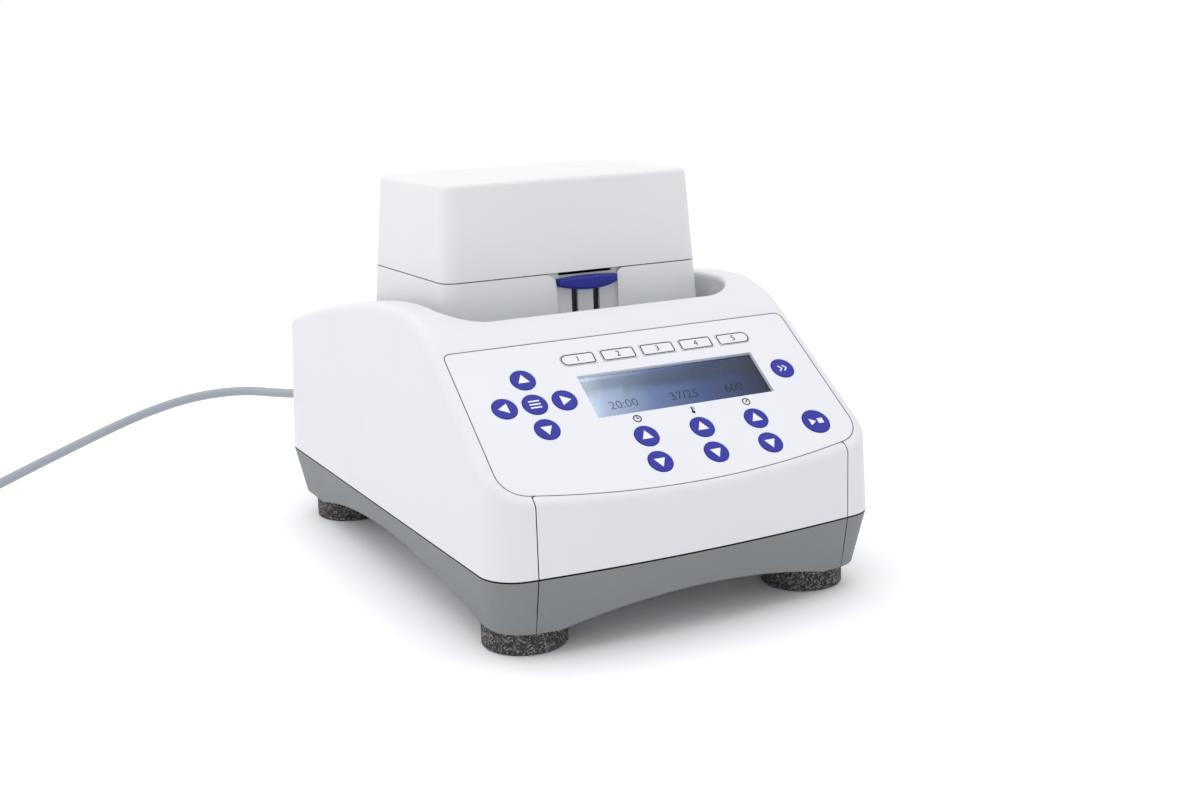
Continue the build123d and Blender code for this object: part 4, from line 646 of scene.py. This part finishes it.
milled_aluminium = machined("milled_aluminium", "#D6D7DA", 0.35, 0.8 * mm)
cast_aluminium = machined("cast_aluminium", "#B9BABD", 0.5, 2.0 * mm)
zinc_plate = machined("zinc_plated_steel", "#C3C5CA", 0.4, 1.5 * mm)
ground_steel = machined("ground_steel", "#BFC0C2", 0.22, 0.5 * mm)
finish(milled_aluminium, "shaker_table", "heat_sink", "contact_plate", "block_core")
finish(cast_aluminium, "motor_stator")
finish(zinc_plate, "chassis_plate", "casing_fasteners", "lever_pin", "usb_port")
finish(ground_steel, "drive_shaft", "main_bearings", "table_bearing", "guide_crank_1", "guide_crank_2",
       "guide_crank_3")


# ---------------------------------------------------------------- boards and ceramics
# Glass-fibre boards under green solder mask carry the keys' switches and the power supply. The Peltier
# modules under the block have faces of white alumina.
solder_mask = moulded("green_solder_mask", "#1E5A37", "#174A2C", 0.3, 1.2 * mm, 0.02 * mm)
alumina = moulded("alumina_ceramic", "#E9E8E3", "#DFDED8", 0.6, 0.5 * mm, 0.02 * mm)
finish(solder_mask, "keypad_board", "power_supply")
finish(alumina, "peltier_modules")


# ---------------------------------------------------------------- rear wall
# Inlet, switch frame and fan are moulded in black glass-filled nylon and set into openings of the rear
# wall. The rocker in its frame is polished.
black_nylon = moulded("black_nylon", "#1A1B1C", "#202122", 0.5, 0.7 * mm, 0.03 * mm)
rocker_black = moulded("polished_black_rocker", "#111112", "#161617", 0.2, 1.0 * mm, 0.005 * mm)
finish(black_nylon, "mains_inlet", "switch_frame", "fan_frame", "fan_rotor")
finish(rocker_black, "power_rocker")


# ---------------------------------------------------------------- floor, lamps and background
# White paper under two soft boxes and an even sky. Near the machine the paper keeps its shadow, and far
# from it the floor and the background show as plain white.
floor_size, fade_start, fade_end = 12.0, 0.55, 1.3
floor_seen, sky_level = 1.2, 0.74
bpy.ops.mesh.primitive_plane_add(size=floor_size, location=(0, 0, 0))
floor = bpy.context.object
floor.name = "floor"
paper = bpy.data.materials.new("white_paper")
paper.use_nodes = True
tree = paper.node_tree
tree.nodes.remove(tree.nodes["Principled BSDF"])
ray = add_node(tree, "ShaderNodeLightPath")
lift = add_node(tree, "ShaderNodeMapRange", values={"To Min": 1.0, "To Max": floor_seen},
                links={"Value": ray.outputs["Is Camera Ray"]})
tint = add_node(tree, "ShaderNodeVectorMath", {"operation": "SCALE"}, {0: linear("#FBFBFE")[:3]},
                {"Scale": lift.outputs["Result"]})
matt = add_node(tree, "ShaderNodeBsdfDiffuse", links={"Color": tint.outputs["Vector"]})
place = add_node(tree, "ShaderNodeTexCoord").outputs["Object"]
distance = add_node(tree, "ShaderNodeVectorMath", {"operation": "LENGTH"}, links={0: place})
far = add_node(tree, "ShaderNodeMapRange", {"interpolation_type": "SMOOTHSTEP"},
               {"From Min": fade_start, "From Max": fade_end}, {"Value": distance.outputs["Value"]})
seen = add_node(tree, "ShaderNodeMath", {"operation": "MULTIPLY"},
                links={0: far.outputs["Result"], 1: ray.outputs["Is Camera Ray"]})
white = add_node(tree, "ShaderNodeEmission", values={"Color": linear("#FFFFFF"), "Strength": 1.0})
blend = add_node(tree, "ShaderNodeMixShader",
                 links={0: seen.outputs[0], 1: matt.outputs[0], 2: white.outputs[0]})
tree.links.new(blend.outputs[0], tree.nodes["Material Output"].inputs["Surface"])
floor.data.materials.append(paper)

world = bpy.data.worlds.new("studio")
bpy.context.scene.world = world
world.use_nodes = True
tree = world.node_tree
ray = add_node(tree, "ShaderNodeLightPath")
seen = add_node(tree, "ShaderNodeMath", {"operation": "MAXIMUM"},
                links={0: ray.outputs["Is Camera Ray"], 1: ray.outputs["Is Glossy Ray"]})
seen = add_node(tree, "ShaderNodeMath", {"operation": "MAXIMUM"},
                links={0: seen.outputs[0], 1: ray.outputs["Is Transmission Ray"]})
level = add_node(tree, "ShaderNodeMapRange", values={"To Min": sky_level, "To Max": 1.0},
                 links={"Value": seen.outputs[0]})
background = tree.nodes["Background"]
background.inputs["Color"].default_value = linear("#FFFFFF")
tree.links.new(level.outputs["Result"], background.inputs["Strength"])


machine_middle = Vector((0, 0, 0.08))


def soft_box(name, position, size, power):
    """A square lamp that faces the middle of the machine."""
    bpy.ops.object.light_add(type="AREA", location=position)
    lamp = bpy.context.object
    lamp.name = name
    lamp.data.size = size
    lamp.data.energy = power
    lamp.rotation_euler = (Vector(position) - machine_middle).to_track_quat("Z", "Y").to_euler()


soft_box("soft_box_top", (-0.15, 0.1, 1.8), 2.6, 15.5)
soft_box("soft_box_left", (-1.5, 0.8, 0.75), 1.4, 3.3)

bpy.context.scene.view_settings.view_transform = "Standard"
